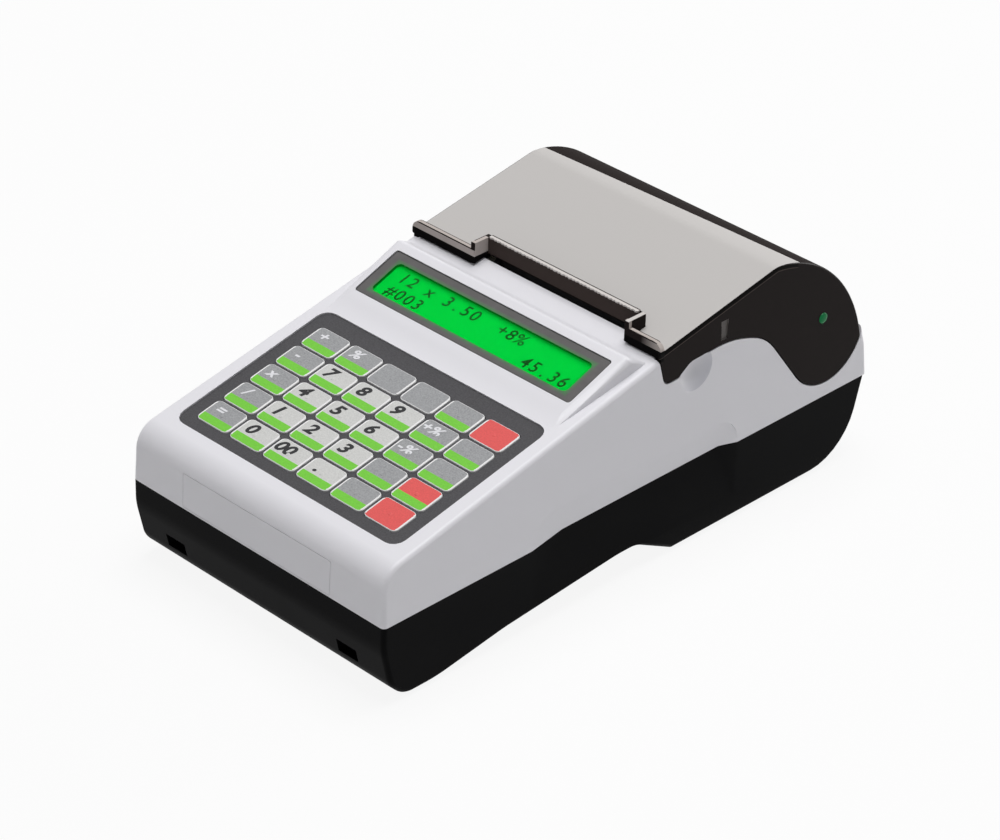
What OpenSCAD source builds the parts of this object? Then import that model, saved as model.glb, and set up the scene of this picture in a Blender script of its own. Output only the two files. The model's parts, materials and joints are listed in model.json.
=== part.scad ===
// Portable ticket register: black base, white upper case with a sloping keypad
// and a raised display, and a hinged smoked cover over a receipt printer.
// X is the operator's right, Y runs back and Z is up. Lengths named _y are
// counted from the front face, and heights named _z from the table.

/* [Body] */
// Length from the front face to the back
body_len = 203; // [198:1:223]
// Width across the seam
body_w = 105; // [104:1:116]
// Height of the top of the printer cover
cover_top_z = 79; // [78:0.5:83]
// Height of the seam between the base and the upper case
seam_z = 27; // [26:0.5:28.5]
// Height of the underside above the table
belly_z = 1; // [0.6:0.1:1.4]
// Wall thickness of both case halves
wall = 2.2; // [1.8:0.1:2.5]
// Radius of the long side edges and the upright corners
edge_r = 1.5; // [1:0.1:2.2]
// Radius of the two bends under the front face
toe_r = 8; // [5:0.5:9]
// Radius under the back face
heel_r = 20; // [14:0.5:21]
// Inward lean of the upper case sides, in degrees
side_draft = 2.6; // [1.5:0.1:3]
// Height of the arch under the body
arch_rise = 7.9; // [4:0.1:9]
// Depth of the hand grips in the sides
grip_depth = 2.3; // [1:0.1:2.6]

/* [Keypad] */
// Slope of the keypad deck, in degrees
deck_tilt = 12.1; // [11:0.1:12.6]
// Height of the deck plane above the front face
deck_front_z = 44.1; // [43:0.1:45]
// Distance from the widest part of the side to the keypad panel
panel_margin = 6.6; // [6:0.1:10]
// Gap between neighbouring keys
key_gap = 1.1; // [0.9:0.1:2]
// Height of a key over the panel round it
key_proud = 0.4; // [0.2:0.1:0.9]
// Travel of a key
key_travel = 0.4; // [0.2:0.05:0.6]
// Thickness of the keypad panel
panel_t = 1.1; // [0.8:0.1:1.6]

/* [Display] */
// Slope of the display face, in degrees
display_tilt = 20.8; // [19:0.1:22]
// Distance from the widest part of the side to the display window
window_margin = 8.4; // [8:0.1:14]
// Length of the display window up its slope
window_s = 18.9; // [16:0.1:19.5]
// Distance from the foot of the raised display to the lip of the cover
display_len = 38.45; // [37:0.05:40]

/* [Printer cover] */
// Length of the cover from its lip to the back of the body
cover_len = 93.7; // [92:0.1:95]
// Height of the lip above the deck
lip_h = 5.4; // [4.5:0.1:6]
// Height of the ticket frame above the deck
frame_h = 7.6; // [6.8:0.1:8.4]
// Wall thickness of the cover
cover_wall = 2; // [1.6:0.1:2.4]
// Radius of the round back of the cover
back_r = 45.2; // [44:0.1:46]
// Radius of the round lobe about the hinge
lobe_r = 17; // [15.5:0.1:17.4]
// Gap between the cover and the case round it
cover_gap = 0.35; // [0.25:0.05:0.5]
// Width of the notch where the ticket comes out
notch_w = 64; // [62:0.5:67]
// Sideways place of the notch and of the paper roll
paper_x = 6; // [4:0.5:7]
// Radius of the hinge pins
pin_r = 2; // [1.5:0.1:2.4]

/* [Printer] */
// Room between the full paper roll and the top of the cover
roll_room = 2.5; // [2:0.5:12]
// Width of the paper roll
roll_w = 57; // [50:0.5:57.5]
// Radius of the rubber on the platen roller
platen_r = 5; // [4.4:0.1:5.2]
// Radius of the platen roller's shaft
shaft_r = 1.5; // [1.2:0.1:1.8]
// Width of the gear teeth
gear_w = 3; // [2:0.5:4]

/* [Hidden] */
key_cols = 6;
key_rows = 5;
key_ids = [for (r = [0:key_rows - 1]) for (c = [0:key_cols - 1]) [c, r]];
$fn = 40;

// ---- plane geometry -------------------------------------------------------
function unit(v) = v / norm(v);
function arc(c, r, a0, a1, n) =
    [for (i = [0:n]) let (a = a0 + (a1 - a0) * i / n) c + r * [cos(a), sin(a)]];
function wrap(a) = a > 180 ? a - 360 : a < -180 ? a + 360 : a;
// The arc of radius r that rounds corner b between a and c
function corner(a, b, c, r, n) =
    r <= 0 ? [b] :
    let (u = unit(a - b), v = unit(c - b), half = acos(u * v) / 2,
         p = b + u * r / tan(half), q = b + v * r / tan(half),
         m = b + unit(u + v) * r / sin(half),
         a0 = atan2(p.y - m.y, p.x - m.x), a1 = atan2(q.y - m.y, q.x - m.x))
    arc(m, r, a0, a0 + wrap(a1 - a0), n);
// A closed outline from corners [y, z, radius]
function rounded(cs, n = 5) =
    let (k = len(cs), p = [for (c = cs) [c[0], c[1]]])
    [for (i = [0:k - 1]) each corner(p[(i + k - 1) % k], p[i], p[(i + 1) % k], cs[i][2], n)];
// The same outline moved inwards by d; the outline runs anticlockwise
function inset(p, d) =
    let (k = len(p))
    [for (i = [0:k - 1])
        let (e = unit(p[i] - p[(i + k - 1) % k]), f = unit(p[(i + 1) % k] - p[i]))
        p[i] + [-e.y - f.y, e.x + f.x] * d / (1 + e * f)];
function box_outline(w, h, r, n = 4) =
    rounded([[-w / 2, -h / 2, r], [w / 2, -h / 2, r], [w / 2, h / 2, r], [-w / 2, h / 2, r]], n);

// ---- body lines -----------------------------------------------------------
lip_y = body_len - cover_len;
lean = tan(side_draft);
function half_w(z) = body_w / 2 - max(0, z - seam_z) * lean;
function deck_z(y) = deck_front_z + y * tan(deck_tilt);
face_lean = 0.028;
face_r = 8;
heel_y = lip_y + 6.7;
grip_top_z = seam_z + 9.6;
back_lean = 0.1;
back_bend = 0.17;
back_bend_z = seam_z + 11;
function back_y(z) = body_len - (z - seam_z) * back_lean - max(0, z - back_bend_z) * back_bend;
function face_y(z) = (z - seam_z) * face_lean;
// How far below the seam the upper outline starts, and above it the lower one
past_seam = 9;
hinge = [body_len - 19.5, seam_z + 21.8];
back_c = [body_len - back_r - 3, cover_top_z - back_r + 0.4];
bay_y = lip_y + 4.6;
// The back of the base leans in below the seam, where it stands in from the case
heel_lean = 0.257;
function heel_back_y(z) = body_len - 0.8 - (seam_z - z) * heel_lean;

// The underside, with its arch, and the walls up to above the seam
arch_y0 = 21;
arch_y1 = heel_y - 14;
arch_len = arch_y1 - arch_y0;
arch_r = arch_len * 0.7;
base_outline = rounded([
    [0, seam_z + past_seam, 0], [0, seam_z - 8, 20], [3, belly_z + 5.5, toe_r], [8.5, belly_z, toe_r],
    [arch_y0, belly_z, arch_r], [arch_y0 + arch_len * 0.33, belly_z + arch_rise / 2, arch_r],
    [arch_y0 + arch_len * 0.9, belly_z + arch_rise, arch_r], [arch_y1, belly_z + arch_rise, 12],
    [heel_y + 1.5, belly_z, 0],
    [heel_back_y(belly_z), belly_z, heel_r], [heel_back_y(seam_z + past_seam), seam_z + past_seam, 0]], 7);
// The upper case, carried up behind the deck to where the cover trims it
case_outline = rounded([
    [face_y(seam_z - past_seam), seam_z - past_seam, 0],
    [body_len + past_seam * back_lean, seam_z - past_seam, 0], [back_y(back_bend_z), back_bend_z, 12],
    [back_y(cover_top_z - 8), cover_top_z - 8, 0], [bay_y + 8, cover_top_z - 8, 0],
    [bay_y + 8, deck_z(bay_y + 8), 0], [face_y(deck_front_z), deck_front_z, face_r]], 7);

// The flat roof rises from the lip to a ridge, and the round back falls from it
roof_start = [lip_y, deck_z(lip_y) + 1.85];
ridge = [body_len - 43.2, cover_top_z];
roof_slope = atan2(ridge.y - roof_start.y, ridge.x - roof_start.x);
back_end = back_c + back_r * [cos(78.5), sin(78.5)];
cover_outline = concat(
    [[lip_y, seam_z + 20], [back_c.x, seam_z - 20]],
    arc(back_c, back_r, -30, 78.5, 36),
    corner(back_end, ridge, roof_start, 12, 5),
    [roof_start]);

// ---- solids shared by the parts -------------------------------------------
module from_front() { translate([0, -body_len / 2, 0]) children(); }
// A [y, z] outline swept from x0 to x1
module slab(p, x0, x1) { translate([x0, 0, 0]) rotate([90, 0, 90]) linear_extrude(x1 - x0) polygon(p); }
// The space between two sides that stand hw from the middle at the seam and
// lean in by k for each unit of height
module between_sides(hw, k) {
    low = -20;
    high = 150;
    reach = 30;
    rotate([90, 0, 0]) translate([0, 0, -body_len - reach]) linear_extrude(body_len + 2 * reach) polygon([
        [-hw + (low - seam_z) * k, low], [hw - (low - seam_z) * k, low],
        [hw - (high - seam_z) * k, high], [-hw + (high - seam_z) * k, high]]);
}
// An outline swept across the body, inset by d all round
module filling(p, d, k) {
    intersection() {
        slab(inset(p, d), -body_w, body_w);
        between_sides(body_w / 2 - d, k);
    }
}
// The same with its side edges rounded by r. The outer rings of points run on
// past the sides, which then cut them off flat.
module pillow(p, r, k, steps = 4) {
    m = len(p);
    hw = body_w / 2;
    edge = [for (i = [0:steps]) let (t = 90 * i / steps) [r * (1 - sin(t)), r * (1 - cos(t))]];
    over = edge[1] + (edge[0] - edge[1]) * 1.2;
    profile = concat([over], [for (i = [1:steps]) edge[i]]);
    rings = concat([for (e = profile) [-1, e]], [for (i = [steps:-1:0]) [1, profile[i]]]);
    pts = [for (g = rings) let (q = inset(p, g[1][0]))
        each [for (v = q) [g[0] * (hw - (v.y - seam_z) * k - g[1][1]), v.x, v.y]]];
    last = len(rings) - 1;
    intersection() {
        polyhedron(pts, concat(
            [[for (i = [0:m - 1]) i]],
            [for (j = [0:last - 1]) for (i = [0:m - 1])
                let (n = (i + 1) % m) each [[j * m + i, (j + 1) * m + i, (j + 1) * m + n],
                                           [j * m + i, (j + 1) * m + n, j * m + n]]],
            [[for (i = [m - 1:-1:0]) last * m + i]]), 4);
        between_sides(hw, k);
    }
}
module both_sides() { children(); mirror([1, 0, 0]) children(); }
// A round bar along X
module bar(x0, x1, yz, r) { translate([x0, yz[0], yz[1]]) rotate([0, 90, 0]) cylinder(h = x1 - x0, r = r); }
module block(x0, x1, y0, y1, z0, z1) { translate([x0, y0, z0]) cube([x1 - x0, y1 - y0, z1 - z0]); }
// Everything at a height between z0 and z1
module level(z0, z1) { block(-body_w, body_w, -20, body_len + 20, z0, z1); }

// ---- grips, screws and feet -----------------------------------------------
grip_y0 = heel_y - 58.5;
grip_y1 = heel_y + 28;
grip_front = 14.5;
grip_back = 6;
grip_low = 19;
function grip_outline(d) = rounded([
    [grip_y0 - d, -9, 0], [grip_y1 + d, -9, 0],
    [grip_y1 + d, grip_top_z + d, 9 + d], [grip_y0 - d, grip_top_z + d, 9 + d]], 6);
// A hollow that is deepest along the seam and slopes out to the side all round it
module grip_hollow() {
    out = 6;
    k = out / grip_depth;
    x0 = body_w / 2 - grip_depth;
    x1 = body_w / 2 + out;
    rise = grip_top_z - seam_z;
    y0 = grip_y0 - grip_front * k;
    y1 = grip_y1 + grip_back * k;
    z0 = seam_z - grip_low * (k + 1);
    z1 = seam_z + (grip_depth + out) * rise / (grip_depth - rise * lean);
    polyhedron([[x0, grip_y0 + grip_front, seam_z], [x0, grip_y1 - grip_back, seam_z],
        [x1, y0, z0], [x1, y1, z0], [x1, y1, z1], [x1, y0, z1]],
        [[2, 5, 4, 3], [2, 3, 1, 0], [4, 5, 0, 1], [5, 2, 0], [3, 4, 1]]);
}
module grip_cuts() {
    both_sides() intersection() {
        grip_hollow();
        slab(grip_outline(0), body_w / 2 - grip_depth - 1, body_w);
    }
}
module grip_walls() {
    both_sides() slab(grip_outline(wall), body_w / 2 - grip_depth - wall, body_w / 2 - wall + 0.3);
}
screw_x = body_w / 2 - 8.5;
screw_spots = [[screw_x, 14], [-screw_x, 14], [screw_x, heel_y + 9], [-screw_x, heel_y + 9]];
screw_r = 1.3;
head_r = 2.7;
head_h = 1.8;
head_z = belly_z + 5;
screw_tip_z = seam_z + 8;
boss_r = 4.2;
top_boss_r = 3.4;
foot_r = 4;
foot_sink = 0.6;
foot_x = body_w / 2 - 17;
rear_foot_y = body_len - heel_r - foot_r - 3;
foot_spots = [[foot_x, 17.5], [-foot_x, 17.5], [foot_x, rear_foot_y], [-foot_x, rear_foot_y]];
// Two shallow pockets low on the front: [x, z] of the middle of one, its width
// and height, and how far behind the front face its end is
pocket = [36, seam_z - 16];
pocket_w = 8;
pocket_h = 4.4;
pocket_depth = 5.2;

// ---- battery, boards and sockets ------------------------------------------
cell_r = 9.2;
cell_len = 65;
door_w = 74;
door_y0 = heel_y + 9;
door_len = 46;
door_t = 2.2;
door_edge = 3;
fit = 0.15;
cell_z = belly_z + door_t + 0.1 + cell_r;
board_t = 1.6;
board_z = 17;
main_w = body_w - 2 * wall - 9;
main_y0 = 14;
main_len = heel_y - 18 - main_y0;
post_spots = [[main_w / 2 - 5, main_y0 + 6], [5 - main_w / 2, main_y0 + 6],
    [main_w / 2 - 5, main_y0 + main_len - 6], [5 - main_w / 2, main_y0 + main_len - 6]];
frame_posts = [[body_w / 2 - 12, heel_y + 21], [12 - body_w / 2, heel_y + 21],
    [body_w / 2 - 10, body_len - 16], [10 - body_w / 2, body_len - 16]];
jack = [-30, 17.5];
jack_r = 4.5;
socket = [-13, 17.5];
socket_w = 14;
socket_h = 12;
socket_face_y = body_len - 6.4;

// ---- base -----------------------------------------------------------------
module pocket_box(grow, depth) block(-pocket_w / 2 - grow, pocket_w / 2 + grow, -5, depth,
    -pocket_h / 2 - grow, pocket_h / 2 + grow);
module base_shell() color("#17171a") from_front() {
    difference() {
        intersection() {
            union() {
                difference() {
                    pillow(base_outline, edge_r, 0);
                    filling(base_outline, wall, 0);
                }
                intersection() {
                    filling(base_outline, wall / 2, 0);
                    union() {
                        grip_walls();
                        for (p = screw_spots) translate([p.x, p.y, 0]) cylinder(h = seam_z, r = boss_r);
                        for (p = post_spots) translate([p.x, p.y, 0]) cylinder(h = board_z, r = 2.5);
                        for (p = frame_posts) translate([p.x, p.y, 0]) cylinder(h = seam_z, r = 3.4);
                        both_sides() translate([pocket.x, 0, pocket.y]) pocket_box(wall, pocket_depth + wall);
                        // Seats under the two sockets
                        block(socket.x - 5, socket.x + 5, socket_face_y - 10, socket_face_y, 0, socket.y - socket_h / 2);
                        block(jack.x - 2, jack.x + 2, socket_face_y - 10, socket_face_y, 0, jack.y - jack_r);
                        difference() {
                            block(-door_w / 2 - 2, door_w / 2 + 2, door_y0 - 2, door_y0 + door_len + 2,
                                belly_z, belly_z + door_t + 1.6);
                            block(3 - door_w / 2, door_w / 2 - 3, door_y0 + 3, door_y0 + door_len - 3, 0, 9);
                        }
                    }
                }
            }
            level(-5, seam_z);
        }
        grip_cuts();
        // Battery door: a recess for the plate and an opening inside it
        block(-door_w / 2 - fit, door_w / 2 + fit, door_y0 - fit, door_y0 + door_len + fit, -1, belly_z + door_t / 2);
        block(door_edge - door_w / 2 - fit, door_w / 2 - door_edge + fit, door_y0 + door_edge - fit,
            door_y0 + door_len - door_edge + fit, -1, belly_z + door_t + 3);
        for (p = foot_spots) translate([p.x, p.y, -1]) cylinder(h = 1 + belly_z + foot_sink, r = foot_r);
        for (p = screw_spots) translate([p.x, p.y, -1]) {
            cylinder(h = head_z + 1, r = head_r + 0.3);
            cylinder(h = seam_z + 2, r = screw_r + 0.2);
        }
        both_sides() translate([pocket.x, 0, pocket.y]) pocket_box(0, pocket_depth);
        // Sockets in the back
        translate([jack.x, body_len - 20, jack.y]) rotate([-90, 0, 0]) cylinder(h = 30, r = jack_r + 0.1);
        block(socket.x - socket_w / 2 - fit, socket.x + socket_w / 2 + fit, body_len - 20, body_len + 5,
            socket.y - socket_h / 2 - fit, socket.y + socket_h / 2 + fit);
    }
}

module battery_door() color("#1c1c1f") from_front() {
    block(-door_w / 2, door_w / 2, door_y0, door_y0 + door_len, belly_z, belly_z + door_t / 2);
    block(door_edge - door_w / 2, door_w / 2 - door_edge, door_y0 + door_edge, door_y0 + door_len - door_edge,
        belly_z + door_t / 2, belly_z + door_t);
}

module battery_pack() color("#2d6fb8") from_front() {
    y0 = door_y0 + door_len / 2;
    difference() {
        union() {
            for (s = [-1, 1]) bar(-cell_len / 2, cell_len / 2, [y0 + s * (cell_r + 0.1), cell_z], cell_r);
            block(-cell_len / 2, cell_len / 2, y0 - cell_r, y0 + cell_r, cell_z - cell_r, cell_z + cell_r);
        }
        block(-cell_len, cell_len, y0 - 0.6, y0 + 0.6, cell_z + cell_r - 0.8, cell_z + cell_r + 1);
    }
}

module rubber_feet() color("#2b2b2e") from_front()
    for (p = foot_spots) translate([p.x, p.y, 0]) cylinder(h = belly_z + foot_sink, r = foot_r - 0.1);

module case_screws() color("silver") from_front()
    for (p = screw_spots) translate([p.x, p.y, 0]) difference() {
        union() {
            translate([0, 0, head_z - head_h]) cylinder(h = head_h, r = head_r);
            translate([0, 0, head_z]) cylinder(h = screw_tip_z - head_z, r = screw_r);
        }
        translate([-2, -0.3, head_z - head_h - 1]) cube([4, 0.6, 1.9]);
        translate([-0.3, -2, head_z - head_h - 1]) cube([0.6, 4, 1.9]);
    }

module main_board() color("#1f6b3a") from_front() {
    difference() {
        block(-main_w / 2, main_w / 2, main_y0, main_y0 + main_len, board_z, board_z + board_t);
        for (p = screw_spots) translate([p.x, p.y, 0]) cylinder(h = seam_z, r = boss_r + 0.4);
    }
    top = board_z + board_t;
    block(-28, -14, 30, 44, top, top + 1.6);
    block(-6, 4, 26, 44, top, top + 2);
    block(-34, -18, 62, 72, top, top + 4);
    block(-8, 2, 66, 84, top, top + 1.6);
    for (x = [-40, -34]) translate([x, 52, top]) cylinder(h = 7, r = 2.5);
}

memory_w = 26;
memory_len = 28;
memory_h = 8;
memory_at = [main_w / 2 - 20.8, main_y0 + 16];
module memory_module() color("#3b3b40") from_front() translate([0, memory_at.y, board_z + board_t])
    slab(rounded([[0, 0, 0], [memory_len, 0, 0], [memory_len, memory_h, 1.5], [0, memory_h, 1.5]]),
        memory_at.x - memory_w / 2, memory_at.x + memory_w / 2);

module power_inlet() color("#101012") from_front()
    translate([jack.x, socket_face_y, jack.y]) rotate([90, 0, 0]) {
        difference() {
            cylinder(h = 12, r = jack_r);
            translate([0, 0, -1]) cylinder(h = 11, r = 2.9);
        }
        cylinder(h = 11, r = 1);
    }

module drawer_socket() color("#202024") from_front()
    difference() {
        block(socket.x - socket_w / 2, socket.x + socket_w / 2, socket_face_y - 13, socket_face_y,
            socket.y - socket_h / 2, socket.y + socket_h / 2);
        block(socket.x - 5, socket.x + 5, socket_face_y - 11, socket_face_y + 1, socket.y - 4, socket.y + 3);
        block(socket.x - 2, socket.x + 2, socket_face_y - 11, socket_face_y + 1, socket.y + 2, socket.y + 5);
    }

// ---- keypad ---------------------------------------------------------------
panel_front_y = 10.2;
panel_side = 4.2;
panel_front = 3.75;
panel_back = 5.8;
hump_y = lip_y - display_len;
hump_gap = 1.2;
panel_w = body_w - 2 * panel_margin;
panel_s = (hump_y - hump_gap - panel_front_y) / cos(deck_tilt);
keys_w = panel_w - 2 * panel_side;
keys_s = panel_s - panel_front - panel_back;
key_pitch_x = keys_w / key_cols;
key_pitch_s = keys_s / key_rows;
panel_mid_s = (panel_back - panel_front) / 2;
keypad_y = panel_front_y + (keys_s / 2 + panel_front) * cos(deck_tilt);
key_w = key_pitch_x - key_gap;
key_s = key_pitch_s - key_gap;
key_clear = 0.2;
// Gap between the flanges that hold neighbouring keys under the panel
flange_gap = 0.4;
// Depths are measured down from the deck plane
panel_drop = 0.5;
panel_floor = panel_drop + panel_t;
key_top = panel_drop - key_proud;
key_foot = panel_floor + 1;
dome_top = key_foot + key_travel + 0.05;
board_top = dome_top + 1.25;
sheet_t = 0.2;

module on_deck() translate([0, keypad_y, deck_z(keypad_y)]) rotate([deck_tilt, 0, 0]) children();
// An outline from depth d0 down to depth d1
module sunk(p, d0, d1) translate([0, 0, -d1]) linear_extrude(d1 - d0) polygon(p);
module at_key(i) translate([(key_ids[i][0] - (key_cols - 1) / 2) * key_pitch_x,
    ((key_rows - 1) / 2 - key_ids[i][1]) * key_pitch_s, 0]) children();

module key_cap(i, shade) color(shade) from_front() on_deck() at_key(i) {
    sunk(box_outline(key_w - 0.5, key_s - 0.5, 1.1), key_top, key_top + 0.6);
    sunk(box_outline(key_w, key_s, 1.3), key_top + 0.3, key_foot);
    sunk(box_outline(key_pitch_x - flange_gap, key_pitch_s - flange_gap, 1.5), panel_floor + 0.1, key_foot);
}

module keypad_panel() color("#4a4a4f") from_front() on_deck() difference() {
    translate([0, panel_mid_s, 0]) sunk(box_outline(panel_w, panel_s, 4), panel_drop, panel_floor);
    for (i = [0:len(key_ids) - 1]) at_key(i)
        sunk(box_outline(key_w + 2 * key_clear, key_s + 2 * key_clear, 1.5), 0, panel_floor + 1);
}

module dome_sheet() color("#c9c9c4") from_front() on_deck() {
    sunk(box_outline(keys_w - 0.6, keys_s - 0.6, 1), board_top - sheet_t, board_top);
    for (i = [0:len(key_ids) - 1]) at_key(i) translate([0, 0, sheet_t / 2 - board_top])
        cylinder(h = board_top - sheet_t / 2 - dome_top, r1 = 2.8, r2 = 2);
}

module keypad_board() color("#1f6b3a") from_front() difference() {
    on_deck() sunk(box_outline(keys_w + 5, keys_s + 5, 2), board_top, board_top + board_t);
    for (p = screw_spots) translate([p.x, p.y, 0]) cylinder(h = body_w, r = top_boss_r + 0.4);
}

// ---- display --------------------------------------------------------------
window_w = body_w - 2 * window_margin;
window_y = hump_y + 8.2 + window_s / 2 * cos(display_tilt);
display_lift = 3.4;
function display_z(y) = deck_z(window_y) + display_lift + (y - window_y) * tan(display_tilt);
hump_crest_y = window_y + window_s / 2 * cos(display_tilt) + 3;
hump_end_y = lip_y - 2.5;
window_t = 1.15;
window_drop = 0.15;
window_floor = window_drop + window_t;
lcd_w = window_w - 6.2;
lcd_s = window_s - 3.9;
lcd_t = 3;
lcd_floor = window_floor + 0.15 + lcd_t;

module on_display() translate([0, window_y, display_z(window_y)]) rotate([display_tilt, 0, 0]) children();

module hump() hull() both_sides() {
    translate([half_w(60) - 6.4, hump_y + 5.2, display_z(hump_y + 5.2) - 1.5]) sphere(1.5, $fn = 24);
    translate([half_w(70) - 4.7, hump_crest_y, display_z(hump_crest_y) - 2]) sphere(2, $fn = 24);
    translate([half_w(60) - 4.9, hump_y, deck_z(hump_y) - 0.8]) sphere(0.6, $fn = 16);
    translate([half_w(66) - 3.3, hump_end_y, deck_z(hump_end_y) - 0.8]) sphere(0.6, $fn = 16);
}

module display_window() color("#6d6a6c") from_front() on_display()
    sunk(box_outline(window_w - 0.2, window_s - 0.2, 0.9), window_drop, window_floor);

module lcd_module() color("#17c23c") from_front() on_display()
    sunk(box_outline(lcd_w, lcd_s, 0.4), lcd_floor - lcd_t, lcd_floor);

module lcd_board() color("#1f6b3a") from_front() on_display()
    sunk(box_outline(lcd_w + 4, lcd_s + 2.4, 0.4), lcd_floor, lcd_floor + board_t);

// ---- cover outline and the case edge that follows it ------------------------
foot_z = deck_z(lip_y) - 8.6;
hump_end = hinge + [-28, 9.1];
lobe_touch = atan2(hump_end.y - hinge.y, hump_end.x - hinge.x) + acos(lobe_r / norm(hump_end - hinge));
// Lower edge of the cheeks: foot, hump over the case side, and lobe about the
// hinge, which ends at an angle
function cheek_line(end) =
    let (top = cover_top_z + 15, z = hinge.y + lobe_r * sin(end))
    rounded(concat([
        [lip_y, top, 0], [lip_y, deck_z(lip_y) + 1, 3], [lip_y + 2.4, foot_z, 2.6],
        [lip_y + 8.2, foot_z + 0.2, 2], [lip_y + 13.2, deck_z(lip_y) - 5.2, 6],
        [lip_y + 31.2, deck_z(lip_y) - 4.4, 36], [hump_end.x, hump_end.y, 20]],
        [for (p = arc(hinge, lobe_r, lobe_touch, end + 360, 18)) [p.x, p.y, 0]],
        [[body_len + 9, z, 0], [body_len + 9, top, 0]]), 5);
cover_line = cheek_line(-7.5);
case_line = inset(cheek_line(-11), -cover_gap);
cheek_in = half_w(deck_z(lip_y)) - cover_wall;

// ---- upper case -----------------------------------------------------------
case_cavity = [[wall, seam_z - 1], [back_y(seam_z) - wall, seam_z - 1],
    [back_y(back_bend_z) - wall, back_bend_z], [hinge.x + 15.1, hinge.y - 3.4],
    [hinge.x + 15.1, cover_top_z + 9],
    [bay_y, cover_top_z + 9], [bay_y, deck_z(bay_y) - wall],
    [wall + face_y(deck_front_z) + 1, deck_z(3) - wall - 1]];
scoop_c = [lip_y + 15.6, foot_z];
scoop_r = 14;
scoop_depth = 1.8;
port_w = 61.2;
port_h = 11;
port_rim = 1.1;

module on_face() translate([0, 0, seam_z]) rotate([-atan(face_lean), 0, 0]) children();
// A plate in the front face, from depth d0 to depth d1
module face_plate(w, h, r, d0, d1) on_face() translate([0, d1, port_h / 2 + 0.6])
    rotate([90, 0, 0]) linear_extrude(d1 - d0) polygon(box_outline(w, h, r));

module case_top() color("#e2e1e6") from_front() {
    difference() {
        intersection() {
            union() {
                difference() {
                    union() {
                        pillow(case_outline, edge_r, lean);
                        hump();
                    }
                    intersection() {
                        slab(case_cavity, -body_w, body_w);
                        between_sides(body_w / 2 - wall, lean);
                    }
                }
                // Pad that carries the keypad board, and the screw bosses
                on_deck() sunk(box_outline(keys_w + 7, keys_s + 7, 3), 1, board_top);
                intersection() {
                    filling(case_outline, wall / 2, lean);
                    union() {
                        grip_walls();
                        for (p = screw_spots) translate([p.x, p.y, seam_z])
                            cylinder(h = p.y < 50 ? deck_z(p.y) - seam_z - 1 : 13, r = top_boss_r);
                        both_sides() {
                            block(screw_x, body_w / 2 - 1, heel_y + 8.2, heel_y + 9.8, seam_z, seam_z + 13);
                            bar(half_w(scoop_c.y) - wall - scoop_depth, half_w(scoop_c.y) - 1, scoop_c, 8.5);
                        }
                    }
                }
            }
            level(seam_z, 200);
        }
        // Keypad: a recess for the panel and a window for the keys
        on_deck() {
            translate([0, panel_mid_s, 0]) sunk(box_outline(panel_w + 0.3, panel_s + 0.3, 4.1), -5, panel_floor);
            sunk(box_outline(keys_w + 0.4, keys_s + 0.4, 1.5), 0, board_top + 0.01);
        }
        // Display: a recess for the window, a throat for the glass, room for its board
        on_display() {
            sunk(box_outline(window_w, window_s, 1), -5, window_floor);
            sunk(box_outline(lcd_w + 0.3, lcd_s + 0.3, 0.5), 0, lcd_floor + 20);
            sunk(box_outline(lcd_w + 4.6, lcd_s + 3, 0.5), lcd_floor, lcd_floor + 20);
        }
        // Room for the cover: over the bay, and at the cheeks beside the deck
        intersection() {
            slab(case_line, -body_w, body_w);
            block(-body_w, body_w, bay_y, body_len + 20, 0, 150);
        }
        both_sides() slab(case_line, cheek_in - cover_gap, body_w);
        both_sides() translate([half_w(scoop_c.y) + scoop_r - scoop_depth, scoop_c.x, scoop_c.y])
            sphere(scoop_r, $fn = 48);
        grip_cuts();
        face_plate(port_w + 2 * fit, port_h + 2 * fit, 0.5, -3, port_rim);
        face_plate(port_w - 2.4, port_h - 2.4, 1, 0, wall + 3);
        for (p = screw_spots) translate([p.x, p.y, seam_z - 1]) cylinder(h = screw_tip_z - seam_z + 2, r = screw_r);
    }
}

module port_cover() color("#dedde2") from_front() {
    face_plate(port_w, port_h, 0.4, 0, port_rim);
    face_plate(port_w - 2.7, port_h - 2.7, 0.9, port_rim / 2, wall);
}

// ---- printer cover --------------------------------------------------------
frame_y = lip_y + 5.8;
frame_t = 1.5;
frame_top = deck_z(lip_y) + frame_h;
lip_top = deck_z(lip_y) + lip_h;
lip_t = 1.6;
cover_edge_r = 0.8;
notch_x0 = paper_x - notch_w / 2;
notch_x1 = paper_x + notch_w / 2;
lip_end = half_w(lip_top) + 0.5;
boss_gap = 0.3;
ear_in = half_w(hinge.y) - cover_wall - 2.7;
led = hinge + [-2.4, 5.5];
led_r = 1.7;
mark = hinge + [-48, 18.3];
mark_w = 2.8;
mark_h = 6.2;

module lip(x0, x1) translate([0, lip_y + lip_t, 0]) rotate([90, 0, 0]) linear_extrude(lip_t)
    polygon(rounded([[x0, deck_z(lip_y) + cover_gap + 0.4, 0.5], [x1, deck_z(lip_y) + cover_gap + 0.4, 0.5],
        [x1, lip_top, x1 > notch_x1 ? 3 : 0.4], [x0, lip_top, x0 < notch_x0 ? 3 : 0.4]]));
module ticket_wall(x0, x1) slab([[lip_y, deck_z(lip_y) + cover_gap + 0.4],
    [frame_y + frame_t, deck_z(frame_y + frame_t) + cover_gap + 0.4],
    [frame_y + frame_t, frame_top], [lip_y, frame_top]], x0, x1);

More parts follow.
